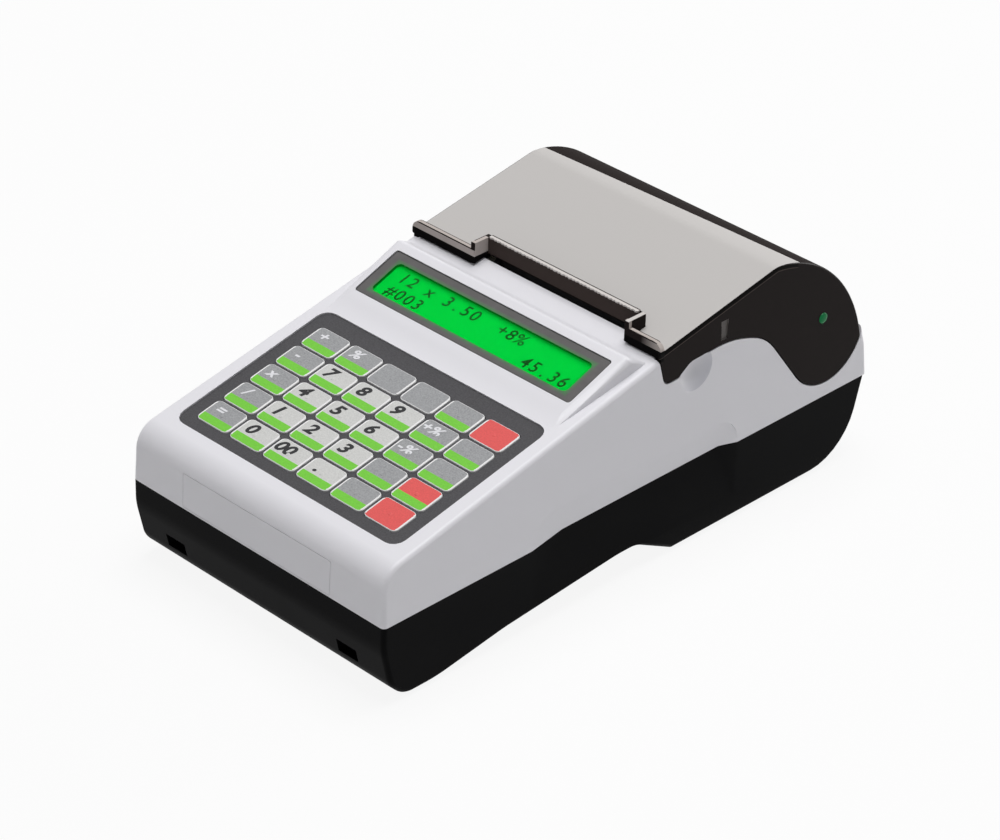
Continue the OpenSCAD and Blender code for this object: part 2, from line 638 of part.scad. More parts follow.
module printer_cover() color([0.2, 0.18, 0.17, 0.9]) from_front() {
    difference() {
        union() {
            difference() {
                intersection() {
                    pillow(cover_outline, cover_edge_r, lean);
                    slab(cover_line, -body_w, body_w);
                }
                filling(cover_outline, cover_wall, lean);
                slab([[lip_y - 3, seam_z], [bay_y + 0.8, seam_z], [bay_y + 0.8, deck_z(bay_y + 0.8) + cover_gap],
                    [lip_y - 3, deck_z(lip_y - 3) + cover_gap]], -cheek_in, cheek_in);
            }
            lip(-lip_end, notch_x0);
            lip(notch_x1, lip_end);
            both_sides() bar(ear_in, half_w(hinge.y) - 1, hinge, 4.2);
        }
        translate([notch_x0, lip_y - 5, seam_z]) cube([notch_w, frame_y + frame_t - lip_y + 4.7, 90]);
        both_sides() bar(ear_in - 1, half_w(hinge.y) - cover_wall + 0.6, hinge, pin_r + 0.06);
        bar(0, body_w, led, led_r);
        both_sides() block(half_w(mark.y) - 0.5, body_w, mark.x, mark.x + mark_w,
            mark.y - mark_h / 2, mark.y + mark_h / 2);
    }
    ticket_wall(notch_x0, notch_x0 + frame_t);
    ticket_wall(notch_x1 - frame_t, notch_x1);
    block(notch_x0, notch_x1, frame_y, frame_y + frame_t, deck_z(frame_y) + 1.2, frame_top);
}

module tear_bar() color("#cfcfd2") from_front() {
    teeth = floor((notch_w - 2 * frame_t - 1) / 2);
    x0 = paper_x - teeth;
    translate([0, 0, frame_top]) linear_extrude(0.5) polygon(concat(
        [[x0 + 2 * teeth, frame_y + frame_t - 0.2], [x0, frame_y + frame_t - 0.2]],
        [for (i = [0:teeth - 1]) each [[x0 + 2 * i, frame_y], [x0 + 2 * i + 1, frame_y - 0.5]]],
        [[x0 + 2 * teeth, frame_y]]));
}

module status_led() color("#19d05a") from_front()
    bar(half_w(led.y) - cover_wall - 0.4, half_w(led.y) + 0.25, led, led_r);

// ---- printer --------------------------------------------------------------
bed_z = seam_z + 2;
roll_clear = 0.3;
bed_t = 2;
bed_half = 65;
roll_z0 = bed_z + 1.2 + bed_t + roll_clear;
roll_r = (cover_top_z - cover_wall - roll_room - roll_z0) / 2;
roll_c = [hinge.x - 25.5, roll_z0 + roll_r];
roll_core_r = 6.5;
plate_t = 1.6;
plate_gap = 0.7;
plate_l = paper_x - roll_w / 2 - plate_gap;
plate_r = paper_x + roll_w / 2 + plate_gap;
// The platen hangs this far under the cover's roof
platen_room = 1.3;
platen_dy = 14.7;
platen = [lip_y + platen_dy, roof_start.y + platen_dy * tan(roof_slope) - cover_wall / cos(roof_slope) - platen_room - platen_r];
bush_r = 3;
run_fit = 0.05;
head_angle = 225;
gear_m = 0.5;
teeth_platen = 20;
teeth_idler = 30;
teeth_pinion = 12;
train = [0.6, -0.8];
idler = platen + train * gear_m * (teeth_platen + teeth_idler) / 2;
motor = idler + train * gear_m * (teeth_idler + teeth_pinion) / 2;
gear_x1 = plate_l - plate_t - 0.4;
gear_x0 = gear_x1 - gear_w;
axle_r = 1.5;
motor_r = 9;
motor_face = gear_x0 - 0.6;
motor_len = 13;
bracket_t = 1.5;
tower_out = ear_in - boss_gap;
tower_t = 3;
tower_step = 5.4;
frame_half = body_w / 2 - wall - 2.6;
bay_floor_y = heel_y - 1;

module gear(x0, z, yz, phase, bore) difference() {
    r = gear_m * z / 2;
    tip = r + gear_m * 0.85;
    root = r - gear_m * 1.1;
    step = 360 / z;
    slab([for (i = [0:z - 1]) for (q = [[root, -0.32], [tip, -0.13], [tip, 0.13], [root, 0.32]])
        yz + q[0] * [cos(phase + step * (i + q[1])), sin(phase + step * (i + q[1]))]], x0, x0 + gear_w);
    bar(x0 - 1, x0 + gear_w + 1, yz, bore);
}
train_angle = atan2(train.y, train.x);

module side_plate(x0) slab(rounded([
    [bay_floor_y + 1, bed_z - 1, 0], [roll_c.x + roll_r - 1, bed_z - 1, 0],
    [roll_c.x + roll_r - 1, bed_z + 17, 8], [platen.x + 13, bed_z + 26, 4],
    [platen.x + 7, platen.y + 4.6, 3], [platen.x - 3, platen.y + 4.6, 2],
    [platen.x - 8.6, platen.y - 1, 1], [platen.x - 8.6, platen.y - 16, 3]]), x0, x0 + plate_t);

module printer_frame() color("#3a3a3e") from_front() {
    difference() {
        union() {
            block(-frame_half, frame_half, bay_floor_y, body_len - 9.5, seam_z, bed_z);
            side_plate(plate_l - plate_t);
            side_plate(plate_r);
            // Curved bed under the roll, on ribs
            slab(concat(arc(roll_c, roll_r + roll_clear + bed_t, 270 - bed_half, 270 + bed_half, 16),
                arc(roll_c, roll_r + roll_clear, 270 + bed_half, 270 - bed_half, 16)), plate_l - 0.5, plate_r + 0.5);
            for (a = [-12, 0, 12]) block(plate_l, plate_r, roll_c.x + a - 0.8, roll_c.x + a + 0.8, bed_z - 0.5,
                roll_c.y - sqrt(pow(roll_r + roll_clear + 1, 2) - a * a));
            // Cross bar behind the print head springs
            translate([0, platen.x, platen.y]) rotate([head_angle - 270, 0, 0])
                block(plate_l - 0.5, plate_r + 0.5, -5, 5, -platen_r - 9.2, -platen_r - 7.6);
            // Motor bracket and idler axle
            slab(rounded([[motor.x - 10, bed_z - 1, 0], [motor.x + 11, bed_z - 1, 0],
                [motor.x + 11, motor.y + 9, 4], [motor.x - 10, motor.y + 9, 4]]),
                motor_face - bracket_t, motor_face);
            bar(gear_x0 - 0.3, plate_l - plate_t + 0.2, idler, axle_r);
            // Hinge towers with their pins. They lean back to the hinge, because the
            // back of the open cover comes down behind them.
            both_sides() {
                slab(rounded([[hinge.x - lobe_r - 3, bed_z - 1, 0], [hinge.x - tower_step, bed_z - 1, 0],
                    [hinge.x - tower_step, hinge.y - lobe_r + 1.5, 3], [hinge.x + 4.8, hinge.y - 5, 3],
                    [hinge.x + 4.8, hinge.y + 4.8, 4.5], [hinge.x - 4.8, hinge.y + 4.8, 4.5],
                    [hinge.x - 8, hinge.y - 6, 8]], 8),
                    tower_out - tower_t, tower_out);
                bar(tower_out - 0.5, tower_out + boss_gap + 2.4, hinge, pin_r);
            }
        }
        for (x = [plate_l - plate_t - 1, plate_r - 1]) bar(x, x + plate_t + 2, platen, bush_r);
        bar(motor_face - bracket_t - 1, motor_face + 1, motor, 2 + run_fit);
        for (p = screw_spots) translate([p.x, p.y, seam_z - 1]) cylinder(h = 9, r = 5.2);
    }
}

module print_head() color("#8d8f94") from_front() translate([0, platen.x, platen.y]) rotate([head_angle - 270, 0, 0]) {
    block(plate_l + 0.4, plate_r - 0.4, -5.5, 5, -platen_r - 2.6, -platen_r - 1);
    block(plate_l + 1.5, plate_r - 1.5, -2.5, 2.5, -platen_r - 1, -platen_r - 0.25);
}

module head_springs() color("silver") from_front() translate([0, platen.x, platen.y]) rotate([head_angle - 270, 0, 0])
    for (x = [paper_x - 16, paper_x + 16]) translate([x, 0, -platen_r - 7.6]) difference() {
        cylinder(h = 5, r = 2.2);
        for (k = [0:3]) translate([0, 0, 0.6 + k * 1.1]) difference() {
            cylinder(h = 0.5, r = 3);
            translate([0, 0, -1]) cylinder(h = 3, r = 1.5);
        }
    }

module roller_bushes() color("#e8e2d0") from_front()
    for (x = [plate_l - plate_t, plate_r]) difference() {
        bar(x, x + plate_t, platen, bush_r);
        bar(x - 1, x + plate_t + 1, platen, shaft_r + run_fit);
    }

module platen_roller() color("#2a2a2c") from_front() {
    bar(gear_x0 - 0.2, plate_r + plate_t + 0.6, platen, shaft_r);
    difference() {
        bar(plate_l + 0.4, plate_r - 0.4, platen, platen_r);
        bar(plate_l - 1, plate_r + 1, platen, shaft_r);
    }
}

module platen_gear() color("#e8e2d0") from_front() gear(gear_x0, teeth_platen, platen, train_angle, shaft_r);
module idler_gear() color("#e8e2d0") from_front()
    gear(gear_x0, teeth_idler, idler, train_angle + 180 + 180 / teeth_idler, axle_r + run_fit);
module motor_pinion() color("#c9a24a") from_front() {
    gear(gear_x0, teeth_pinion, motor, train_angle + 180, 1);
    bar(motor_face - 6, gear_x1, motor, 1);
}

module stepper_motor() color("#9a9ca1") from_front() difference() {
    union() {
        bar(motor_face - bracket_t - motor_len, motor_face - bracket_t, motor, motor_r);
        bar(motor_face - bracket_t, motor_face - 0.2, motor, 2);
    }
    bar(motor_face - 7, motor_face + 1, motor, 1 + run_fit);
}

module paper_roll() color("#f4f2ec") from_front() difference() {
    bar(paper_x - roll_w / 2, paper_x + roll_w / 2, roll_c, roll_r);
    bar(paper_x - roll_w, paper_x + roll_w, roll_c, roll_core_r);
}

// ---- assembly -------------------------------------------------------------
base_shell();
case_top();
port_cover();
keypad_panel();
dome_sheet();
keypad_board();
display_window();
lcd_module();
lcd_board();
main_board();
memory_module();
battery_pack();
battery_door();
rubber_feet();
case_screws();
power_inlet();
drawer_socket();
printer_frame();
print_head();
head_springs();
roller_bushes();
platen_roller();
platen_gear();
idler_gear();
motor_pinion();
stepper_motor();
paper_roll();
printer_cover();
tear_bar();
status_led();
key_cap(0, "#9c9c9c");  // key_c1_r1
key_cap(1, "#9c9c9c");  // key_c2_r1
key_cap(2, "#9c9c9c");  // key_c3_r1
key_cap(3, "#9c9c9c");  // key_c4_r1
key_cap(4, "#9c9c9c");  // key_c5_r1
key_cap(5, "#e05c5c");  // key_c6_r1
key_cap(6, "#9c9c9c");  // key_c1_r2
key_cap(7, "#cfcfd0");  // key_c2_r2
key_cap(8, "#cfcfd0");  // key_c3_r2
key_cap(9, "#cfcfd0");  // key_c4_r2
key_cap(10, "#9c9c9c");  // key_c5_r2
key_cap(11, "#9c9c9c");  // key_c6_r2
key_cap(12, "#9c9c9c");  // key_c1_r3
key_cap(13, "#cfcfd0");  // key_c2_r3
key_cap(14, "#cfcfd0");  // key_c3_r3
key_cap(15, "#cfcfd0");  // key_c4_r3
key_cap(16, "#9c9c9c");  // key_c5_r3
key_cap(17, "#9c9c9c");  // key_c6_r3
key_cap(18, "#9c9c9c");  // key_c1_r4
key_cap(19, "#cfcfd0");  // key_c2_r4
key_cap(20, "#cfcfd0");  // key_c3_r4
key_cap(21, "#cfcfd0");  // key_c4_r4
key_cap(22, "#9c9c9c");  // key_c5_r4
key_cap(23, "#e05c5c");  // key_c6_r4
key_cap(24, "#9c9c9c");  // key_c1_r5
key_cap(25, "#cfcfd0");  // key_c2_r5
key_cap(26, "#cfcfd0");  // key_c3_r5
key_cap(27, "#cfcfd0");  // key_c4_r5
key_cap(28, "#9c9c9c");  // key_c5_r5
key_cap(29, "#e05c5c");  // key_c6_r5
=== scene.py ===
# %% [markdown]
# # A portable ticket register, dressed in Blender
#
# The register is a small counter machine: a black base, a white upper case with
# a sloping keypad, a green backlit display and a smoked cover over its printer.
# Its solids come from a CAD model that is loaded as a fixed frame. Each cell
# below makes one piece or one finish around that frame. All lengths are metres.

# %% Load the frame
import json
import math

import bpy
from mathutils import Matrix, Quaternion, Vector


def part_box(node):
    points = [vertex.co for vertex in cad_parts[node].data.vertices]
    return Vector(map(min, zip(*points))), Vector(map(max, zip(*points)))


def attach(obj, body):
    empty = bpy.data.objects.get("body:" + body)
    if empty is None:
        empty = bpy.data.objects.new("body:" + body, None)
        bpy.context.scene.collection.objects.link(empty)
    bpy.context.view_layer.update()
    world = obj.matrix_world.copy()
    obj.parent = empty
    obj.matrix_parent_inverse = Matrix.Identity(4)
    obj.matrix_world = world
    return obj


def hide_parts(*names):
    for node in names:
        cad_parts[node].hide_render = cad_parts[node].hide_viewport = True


MM = 0.001
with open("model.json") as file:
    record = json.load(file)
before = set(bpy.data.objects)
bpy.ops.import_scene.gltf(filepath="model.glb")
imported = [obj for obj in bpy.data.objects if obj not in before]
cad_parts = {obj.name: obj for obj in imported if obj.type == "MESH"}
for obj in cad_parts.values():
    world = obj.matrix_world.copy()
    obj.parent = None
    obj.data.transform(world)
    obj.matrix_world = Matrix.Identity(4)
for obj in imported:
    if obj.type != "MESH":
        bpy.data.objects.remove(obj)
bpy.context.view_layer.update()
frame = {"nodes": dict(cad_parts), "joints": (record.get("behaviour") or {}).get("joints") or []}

# %% [markdown]
# ## The camera
#
# A long lens keeps the register's edges nearly parallel. The camera stands to the
# front right and looks down. Its direction is given by two angles, and a third
# turns it a little about its own axis. An orthographic camera would be simpler,
# but then the back of the machine would look too large.

# %% Camera
CAMERA_PLACE = Vector((656.2, -684.1, 609.0)) * MM
CAMERA_TURN = math.radians(43.991)
CAMERA_HEIGHT = math.radians(31.494)
CAMERA_ROLL = math.radians(1.870)
LENS = 134.92
SENSOR = 36.0
CLIP_START, CLIP_END = 0.05, 20.0


def add_camera():
    """The camera looks along the reverse of the direction that the angles give."""
    flat = math.cos(CAMERA_HEIGHT)
    back = Vector((math.sin(CAMERA_TURN) * flat, -math.cos(CAMERA_TURN) * flat,
                   math.sin(CAMERA_HEIGHT)))
    data = bpy.data.cameras.new("camera")
    data.lens = LENS
    data.sensor_width = SENSOR
    data.clip_start, data.clip_end = CLIP_START, CLIP_END
    camera = bpy.data.objects.new("camera", data)
    bpy.context.scene.collection.objects.link(camera)
    camera.location = CAMERA_PLACE
    camera.rotation_mode = "QUATERNION"
    roll = Quaternion((0, 0, 1), CAMERA_ROLL)
    camera.rotation_quaternion = back.to_track_quat("Z", "Y") @ roll
    bpy.context.scene.camera = camera
    print("camera", [round(v, 3) for v in camera.location], "lens", LENS)


add_camera()

# %% [markdown]
# ## Small helpers
#
# Most operators act on whatever is selected, so each step first selects exactly
# one object. A finished piece keeps its place in its mesh and its object at the
# origin, which is what `rest_at_origin` does. `local_span` measures a CAD node
# along axes that are tilted with the deck, so that new pieces can be fitted to a
# sloping face without any guessing.

# %% Helpers
def pick(*objects):
    bpy.ops.object.select_all(action="DESELECT")
    for obj in objects:
        obj.select_set(True)
    bpy.context.view_layer.objects.active = objects[0]


def rest_at_origin(obj):
    pick(obj)
    bpy.ops.object.transform_apply(location=True, rotation=True, scale=True)
    return obj


def tilted(angle):
    """A turn about X that carries flat axes onto a face that rises by angle."""
    return Matrix.Rotation(angle, 4, "X")


def local_span(node, angle):
    """Lowest and highest corner of a node along axes tilted by angle."""
    back = tilted(-angle).to_3x3()
    points = [back @ v.co for v in frame["nodes"][node].data.vertices]
    low = Vector([min(p[i] for p in points) for i in range(3)])
    high = Vector([max(p[i] for p in points) for i in range(3)])
    return low, high


def lay_on(obj, angle):
    """Tilts a piece that was modelled flat and leaves it resting at the origin."""
    pick(obj)
    obj.matrix_world = tilted(angle) @ obj.matrix_world
    rest_at_origin(obj)


def add_object(name, data):
    made = bpy.data.objects.new(name, data)
    bpy.context.scene.collection.objects.link(made)
    return made


def coat(obj, *materials):
    """Gives an object these finishes in place of any that it has."""
    obj.data.materials.clear()
    for material in materials:
        obj.data.materials.append(material)


def select_where(obj, test, kind="FACE"):
    """In edit mode, selects the faces or edges that pass test(part)."""
    bpy.ops.mesh.select_mode(type=kind)
    bpy.ops.mesh.select_all(action="DESELECT")
    bpy.ops.object.mode_set(mode="OBJECT")
    parts = {"FACE": obj.data.polygons, "EDGE": obj.data.edges}[kind]
    for part in parts:
        part.select = test(part)
    bpy.ops.object.mode_set(mode="EDIT")


press = next(joint for joint in frame["joints"] if joint["name"] == "key_c1_r1_press")
DECK_TILT = math.atan2(press["axis"][1], -press["axis"][2])
DISPLAY_TILT = math.radians(20.8)
print("deck rises by", round(math.degrees(DECK_TILT), 2), "degrees")

# %% [markdown]
# ## Shared shader groups
#
# Moulded plastic is never perfectly even. A fine grain breaks up the highlights
# and a large, faint variation changes the gloss a little from place to place.
# Painted film, such as the keypad overlay, has small flecks in its colour. More
# than one finish needs each of these, so each is a node group with named inputs.

# %% Shader groups
def new_group(name, inputs, outputs):
    group = bpy.data.node_groups.new(name, "ShaderNodeTree")
    for label, kind, value in inputs:
        socket = group.interface.new_socket(label, in_out="INPUT", socket_type=kind)
        socket.default_value = value
    for label, kind in outputs:
        group.interface.new_socket(label, in_out="OUTPUT", socket_type=kind)
    start = group.nodes.new("NodeGroupInput")
    end = group.nodes.new("NodeGroupOutput")
    return group, start, end


def node(tree, kind, **values):
    made = tree.nodes.new(kind)
    for key, value in values.items():
        setattr(made, key, value)
    return made


def join(tree, source, target):
    tree.links.new(source, target)


def object_place(tree):
    """The X, Y and Z of a place on the object, as sockets."""
    place = node(tree, "ShaderNodeTexCoord")
    split = node(tree, "ShaderNodeSeparateXYZ")
    join(tree, place.outputs["Object"], split.inputs["Vector"])
    return split.outputs["X"], split.outputs["Y"], split.outputs["Z"]


def make_grain_group():
    """Grain and gloss variation of a moulded surface."""
    group, start, end = new_group(
        "moulded_grain",
        [("Grain Scale", "NodeSocketFloat", 1500.0), ("Gloss", "NodeSocketFloat", 0.4),
         ("Gloss Change", "NodeSocketFloat", 0.06)],
        [("Height", "NodeSocketFloat"), ("Roughness", "NodeSocketFloat")])
    place = node(group, "ShaderNodeTexCoord")
    fine = node(group, "ShaderNodeTexNoise")
    fine.inputs["Detail"].default_value = 2.0
    wide = node(group, "ShaderNodeTexNoise")
    wide.inputs["Scale"].default_value = 35.0
    wide.inputs["Detail"].default_value = 4.0
    spread = node(group, "ShaderNodeMapRange")
    spread.inputs["To Min"].default_value = -1.0
    change = node(group, "ShaderNodeMath", operation="MULTIPLY")
    total = node(group, "ShaderNodeMath", operation="ADD", use_clamp=True)
    join(group, place.outputs["Object"], fine.inputs["Vector"])
    join(group, start.outputs["Grain Scale"], fine.inputs["Scale"])
    join(group, place.outputs["Object"], wide.inputs["Vector"])
    join(group, wide.outputs["Fac"], spread.inputs["Value"])
    join(group, spread.outputs["Result"], change.inputs[0])
    join(group, start.outputs["Gloss Change"], change.inputs[1])
    join(group, change.outputs["Value"], total.inputs[0])
    join(group, start.outputs["Gloss"], total.inputs[1])
    join(group, fine.outputs["Fac"], end.inputs["Height"])
    join(group, total.outputs["Value"], end.inputs["Roughness"])
    return group


def make_fleck_group():
    """A colour broken up by small lighter and darker flecks."""
    group, start, end = new_group(
        "printed_flecks",
        [("Color", "NodeSocketColor", (0.5, 0.5, 0.5, 1.0)),
         ("Fleck Scale", "NodeSocketFloat", 2200.0), ("Contrast", "NodeSocketFloat", 0.3)],
        [("Color", "NodeSocketColor")])
    place = node(group, "ShaderNodeTexCoord")
    flecks = node(group, "ShaderNodeTexNoise")
    flecks.inputs["Detail"].default_value = 3.0
    flecks.inputs["Roughness"].default_value = 0.7
    centre = node(group, "ShaderNodeMath", operation="SUBTRACT")
    centre.inputs[1].default_value = 0.5
    swing = node(group, "ShaderNodeMath", operation="MULTIPLY")
    level = node(group, "ShaderNodeMath", operation="ADD")
    level.inputs[1].default_value = 1.0
    tint = node(group, "ShaderNodeVectorMath", operation="SCALE")
    join(group, place.outputs["Object"], flecks.inputs["Vector"])
    join(group, start.outputs["Fleck Scale"], flecks.inputs["Scale"])
    join(group, flecks.outputs["Fac"], centre.inputs[0])
    join(group, centre.outputs["Value"], swing.inputs[0])
    join(group, start.outputs["Contrast"], swing.inputs[1])
    join(group, swing.outputs["Value"], level.inputs[0])
    join(group, start.outputs["Color"], tint.inputs[0])
    join(group, level.outputs["Value"], tint.inputs["Scale"])
    join(group, tint.outputs["Vector"], end.inputs["Color"])
    return group


def make_slope_group():
    """Places on a face that rises by an angle: across it, and along its slope."""
    group, start, end = new_group(
        "sloping_place",
        [("Angle", "NodeSocketFloat", 0.2)],
        [("Across", "NodeSocketFloat"), ("Along", "NodeSocketFloat")])
    x, y, z = object_place(group)
    cosine = node(group, "ShaderNodeMath", operation="COSINE")
    sine = node(group, "ShaderNodeMath", operation="SINE")
    level = node(group, "ShaderNodeMath", operation="MULTIPLY")
    rise = node(group, "ShaderNodeMath", operation="MULTIPLY")
    total = node(group, "ShaderNodeMath", operation="ADD")
    join(group, start.outputs["Angle"], cosine.inputs[0])
    join(group, start.outputs["Angle"], sine.inputs[0])
    join(group, y, level.inputs[0])
    join(group, cosine.outputs["Value"], level.inputs[1])
    join(group, z, rise.inputs[0])
    join(group, sine.outputs["Value"], rise.inputs[1])
    join(group, level.outputs["Value"], total.inputs[0])
    join(group, rise.outputs["Value"], total.inputs[1])
    join(group, x, end.inputs["Across"])
    join(group, total.outputs["Value"], end.inputs["Along"])
    return group


GRAIN = make_grain_group()
FLECKS = make_fleck_group()
SLOPE = make_slope_group()
print("shader groups", GRAIN.name, FLECKS.name, SLOPE.name)

# %% [markdown]
# ## Finishes
#
# `finish` starts a material with the grain group in it. The colour is written as
# it would be picked from a swatch, in 0 to 255, and turned into the linear
# values that the renderer adds up. A darker or rougher neighbour could be made
# by copying a material, but one function with named values keeps them in step.

# %% Finish helpers
def swatch(red, green, blue):
    """A colour picked as 0 to 255, as linear values for a shader."""
    def linear(value):
        value /= 255.0
        return value / 12.92 if value <= 0.04045 else ((value + 0.055) / 1.055) ** 2.4
    return (linear(red), linear(green), linear(blue), 1.0)


def finish(name, color, gloss=0.4, change=0.05, grain=1500.0, depth=0.00002,
           flecks=0.0, fleck_scale=2200.0, metal=0.0, shine=0.5):
    """A plastic or metal finish: its colour, with grain in the height and the gloss."""
    material = bpy.data.materials.new(name)
    material.use_nodes = True
    tree = material.node_tree
    shader = tree.nodes["Principled BSDF"]
    shader.inputs["Base Color"].default_value = color
    shader.inputs["Metallic"].default_value = metal
    shader.inputs["Specular IOR Level"].default_value = shine
    grained = node(tree, "ShaderNodeGroup", node_tree=GRAIN)
    grained.inputs["Grain Scale"].default_value = grain
    grained.inputs["Gloss"].default_value = gloss
    grained.inputs["Gloss Change"].default_value = change
    bump = node(tree, "ShaderNodeBump")
    bump.inputs["Distance"].default_value = depth
    join(tree, grained.outputs["Roughness"], shader.inputs["Roughness"])
    join(tree, grained.outputs["Height"], bump.inputs["Height"])
    join(tree, bump.outputs["Normal"], shader.inputs["Normal"])
    if flecks:
        flecked = node(tree, "ShaderNodeGroup", node_tree=FLECKS)
        flecked.inputs["Color"].default_value = color
        flecked.inputs["Fleck Scale"].default_value = fleck_scale
        flecked.inputs["Contrast"].default_value = flecks
        join(tree, flecked.outputs["Color"], shader.inputs["Base Color"])
    return material


CASE_WHITE = finish("case_white", swatch(229, 228, 233), gloss=0.42, grain=2600.0, depth=0.000012)
BASE_BLACK = finish("base_black", swatch(7, 7, 8), gloss=0.5, grain=1900.0, depth=0.00003, shine=0.03)
PANEL_GREY = finish("panel_grey", swatch(66, 65, 68), gloss=0.5, flecks=1.6, depth=0.00002, shine=0.25)
KEY_GREY = finish("key_grey", swatch(154, 155, 157), gloss=0.42, flecks=1.3, depth=0.00001, shine=0.3)
KEY_LIGHT = finish("key_light", swatch(206, 206, 204), gloss=0.42, flecks=0.6, depth=0.00001, shine=0.3)
KEY_RED = finish("key_red", swatch(224, 88, 86), gloss=0.42, flecks=0.5, depth=0.00001, shine=0.3)
KEY_GREEN = finish("key_green", swatch(116, 202, 58), gloss=0.42, flecks=0.5, depth=0.00001, shine=0.3)
KEY_RIM = finish("key_rim", swatch(235, 235, 235), gloss=0.42, depth=0.00001)
INK_DARK = finish("ink_dark", swatch(40, 40, 42), gloss=0.5, depth=0.000005, shine=0.2)
INK_PALE = finish("ink_pale", swatch(226, 226, 230), gloss=0.5, depth=0.000005)
RUBBER = finish("rubber", swatch(38, 38, 40), gloss=0.75, grain=900.0)
STEEL = finish("steel", swatch(176, 177, 182), gloss=0.3, metal=1.0, depth=0.000008)
BRASS = finish("brass", swatch(198, 160, 88), gloss=0.28, metal=1.0, depth=0.000008)
GEAR_CREAM = finish("gear_cream", swatch(232, 226, 208), gloss=0.4)
FRAME_DARK = finish("frame_dark", swatch(58, 58, 62), gloss=0.5, grain=1400.0)
BOARD_GREEN = finish("board_green", swatch(34, 104, 58), gloss=0.3, flecks=0.3, fleck_scale=400.0)
CHIP_BLACK = finish("chip_black", swatch(34, 34, 36), gloss=0.45)
SOCKET_BLACK = finish("socket_black", swatch(20, 20, 22), gloss=0.35)
BATTERY_BLUE = finish("battery_blue", swatch(48, 108, 176), gloss=0.3)
PAPER = finish("paper", swatch(244, 242, 236), gloss=0.8, grain=700.0, depth=0.00003)
DOME_WHITE = finish("dome_white", swatch(205, 205, 198), gloss=0.55)
TEAR_CLEAR = finish("tear_clear", swatch(206, 200, 196), gloss=0.25, depth=0.000004)
# Painted shade for the gap around the display window
WINDOW_GAP_SHADE = finish("window_gap_shade", swatch(14, 14, 15), gloss=0.3)
print("finishes", len(bpy.data.materials))

# %% [markdown]
# ## The smoked cover's finish
#
# The cover is a smoked moulding with polished cheeks and a satin roof. A pale
# field of painted reflection runs from the lip over the ridge onto the rounded
# back, where its edge slants a little, and the cheeks and the ticket frame stay
# dark brown-black. The upper half of the lip is paler than its foot, painted as
# light catching it. The roof's own profile is a straight line and then an arc,
# so the shader can find every area by place alone: the field lies within a
# millimetre of that profile, and a line of painted shade and then one of painted
# highlight follow it down each cheek, as on a chamfer along the roof's edge. The
# top of the notch's right wall is painted pale as a highlight. Painting by UV map
# would work too, but needs an unwrap.

# %% Cover finish
cover_low, cover_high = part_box("printer_cover")
LIP_Y = cover_low.y
ROOF_FRONT_Z = 69.38 * MM
ROOF_RISE = math.tan(math.radians(10.78))
BACK_RADIUS = 45.2 * MM
BACK_CENTRE_Y = cover_low.y + 45.5 * MM
BACK_CENTRE_Z = cover_high.z - BACK_RADIUS + 0.4 * MM
# Bounds of the pale field, a painted reflection on the roof
FIELD_END = cover_low.y + 57.8 * MM
FIELD_SLANT = 0.057
# The sides stand this far out at this height, and lean in above it
FIELD_HALF = 52.5 * MM
FIELD_HALF_Z = 27.0 * MM
FIELD_MARGIN = 0.55 * MM
ROOF_SKIN = (-0.2 * MM, 0.9 * MM)
ROOF_START = LIP_Y + 1.65 * MM
SATIN_GLOSS = 0.8
LIP_MIDDLE_Z = 70.6 * MM
LIP_TOP_Z = 72.93 * MM
LIP_THICK = 1.6 * MM
LIP_FACE = LIP_Y + 0.22 * MM
# A mask goes this far past the face that it colours
MASK_REACH = 0.05 * MM
LIP_BACK = LIP_Y + LIP_THICK + MASK_REACH
LIP_FOOT_Z = LIP_MIDDLE_Z - 3.6 * MM
LIP_FADE = (43.0 * MM, 49.0 * MM)
FRAME_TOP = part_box("tear_bar")[0].z
NOTCH_MIDDLE = 6.0 * MM
NOTCH_HALF = 32.0 * MM
NOTCH_LEFT, NOTCH_RIGHT = NOTCH_MIDDLE - NOTCH_HALF, NOTCH_MIDDLE + NOTCH_HALF
FRAME_FRONT = LIP_Y + 5.8 * MM
FRAME_BACK = FRAME_FRONT + 1.5 * MM
MARK_Y = cover_low.y + 27.6 * MM
MARK_Z = 67.1 * MM
MARK_HALF_Y, MARK_HALF_Z = 1.5 * MM, 3.2 * MM
MARK_FLOOR = (49.0 * MM, 50.6 * MM)
# A line of painted shade and then one of painted highlight run down each cheek under the roof's edge
CHEEK_SHADE_LINE = (0.1 * MM, 1.15 * MM)
CHEEK_HIGHLIGHT_LINE = (1.15 * MM, 1.45 * MM)
CHEEK_LINE_END = BACK_CENTRE_Y + 14.0 * MM
SIDE_LEAN = math.tan(math.radians(2.6))
# Dark rims that the pale areas leave free, and the spans of the notch's faces
TOP_RIM, FRAME_RIM = 0.3 * MM, 0.35 * MM
LIP_INSIDE = (LIP_FACE, LIP_Y + LIP_THICK - 0.25 * MM)
WALL_LENGTH = (LIP_Y + 0.5 * MM, FRAME_FRONT)
LEFT_WALL = (NOTCH_LEFT + 0.3 * MM, NOTCH_LEFT + 1.6 * MM)
RIGHT_WALL = (NOTCH_RIGHT - 1.3 * MM, NOTCH_RIGHT + 0.1 * MM)
RIGHT_WALL_TOP = FRAME_TOP - 0.12 * MM
TICKET_WALL = (FRAME_FRONT - 0.1 * MM, FRAME_FRONT + 0.3 * MM)
TICKET_HALF = NOTCH_HALF - 1.5 * MM


def math_node(tree, operation, first, second):
    made = node(tree, "ShaderNodeMath", operation=operation)
    for socket, value in zip(made.inputs, (first, second)):
        if isinstance(value, float):
            socket.default_value = value
        else:
            join(tree, value, socket)
    return made.outputs["Value"]


def over(tree, value, limit):
    """1 where value is over limit. Either may be a number or a socket."""
    return math_node(tree, "GREATER_THAN", value, limit)


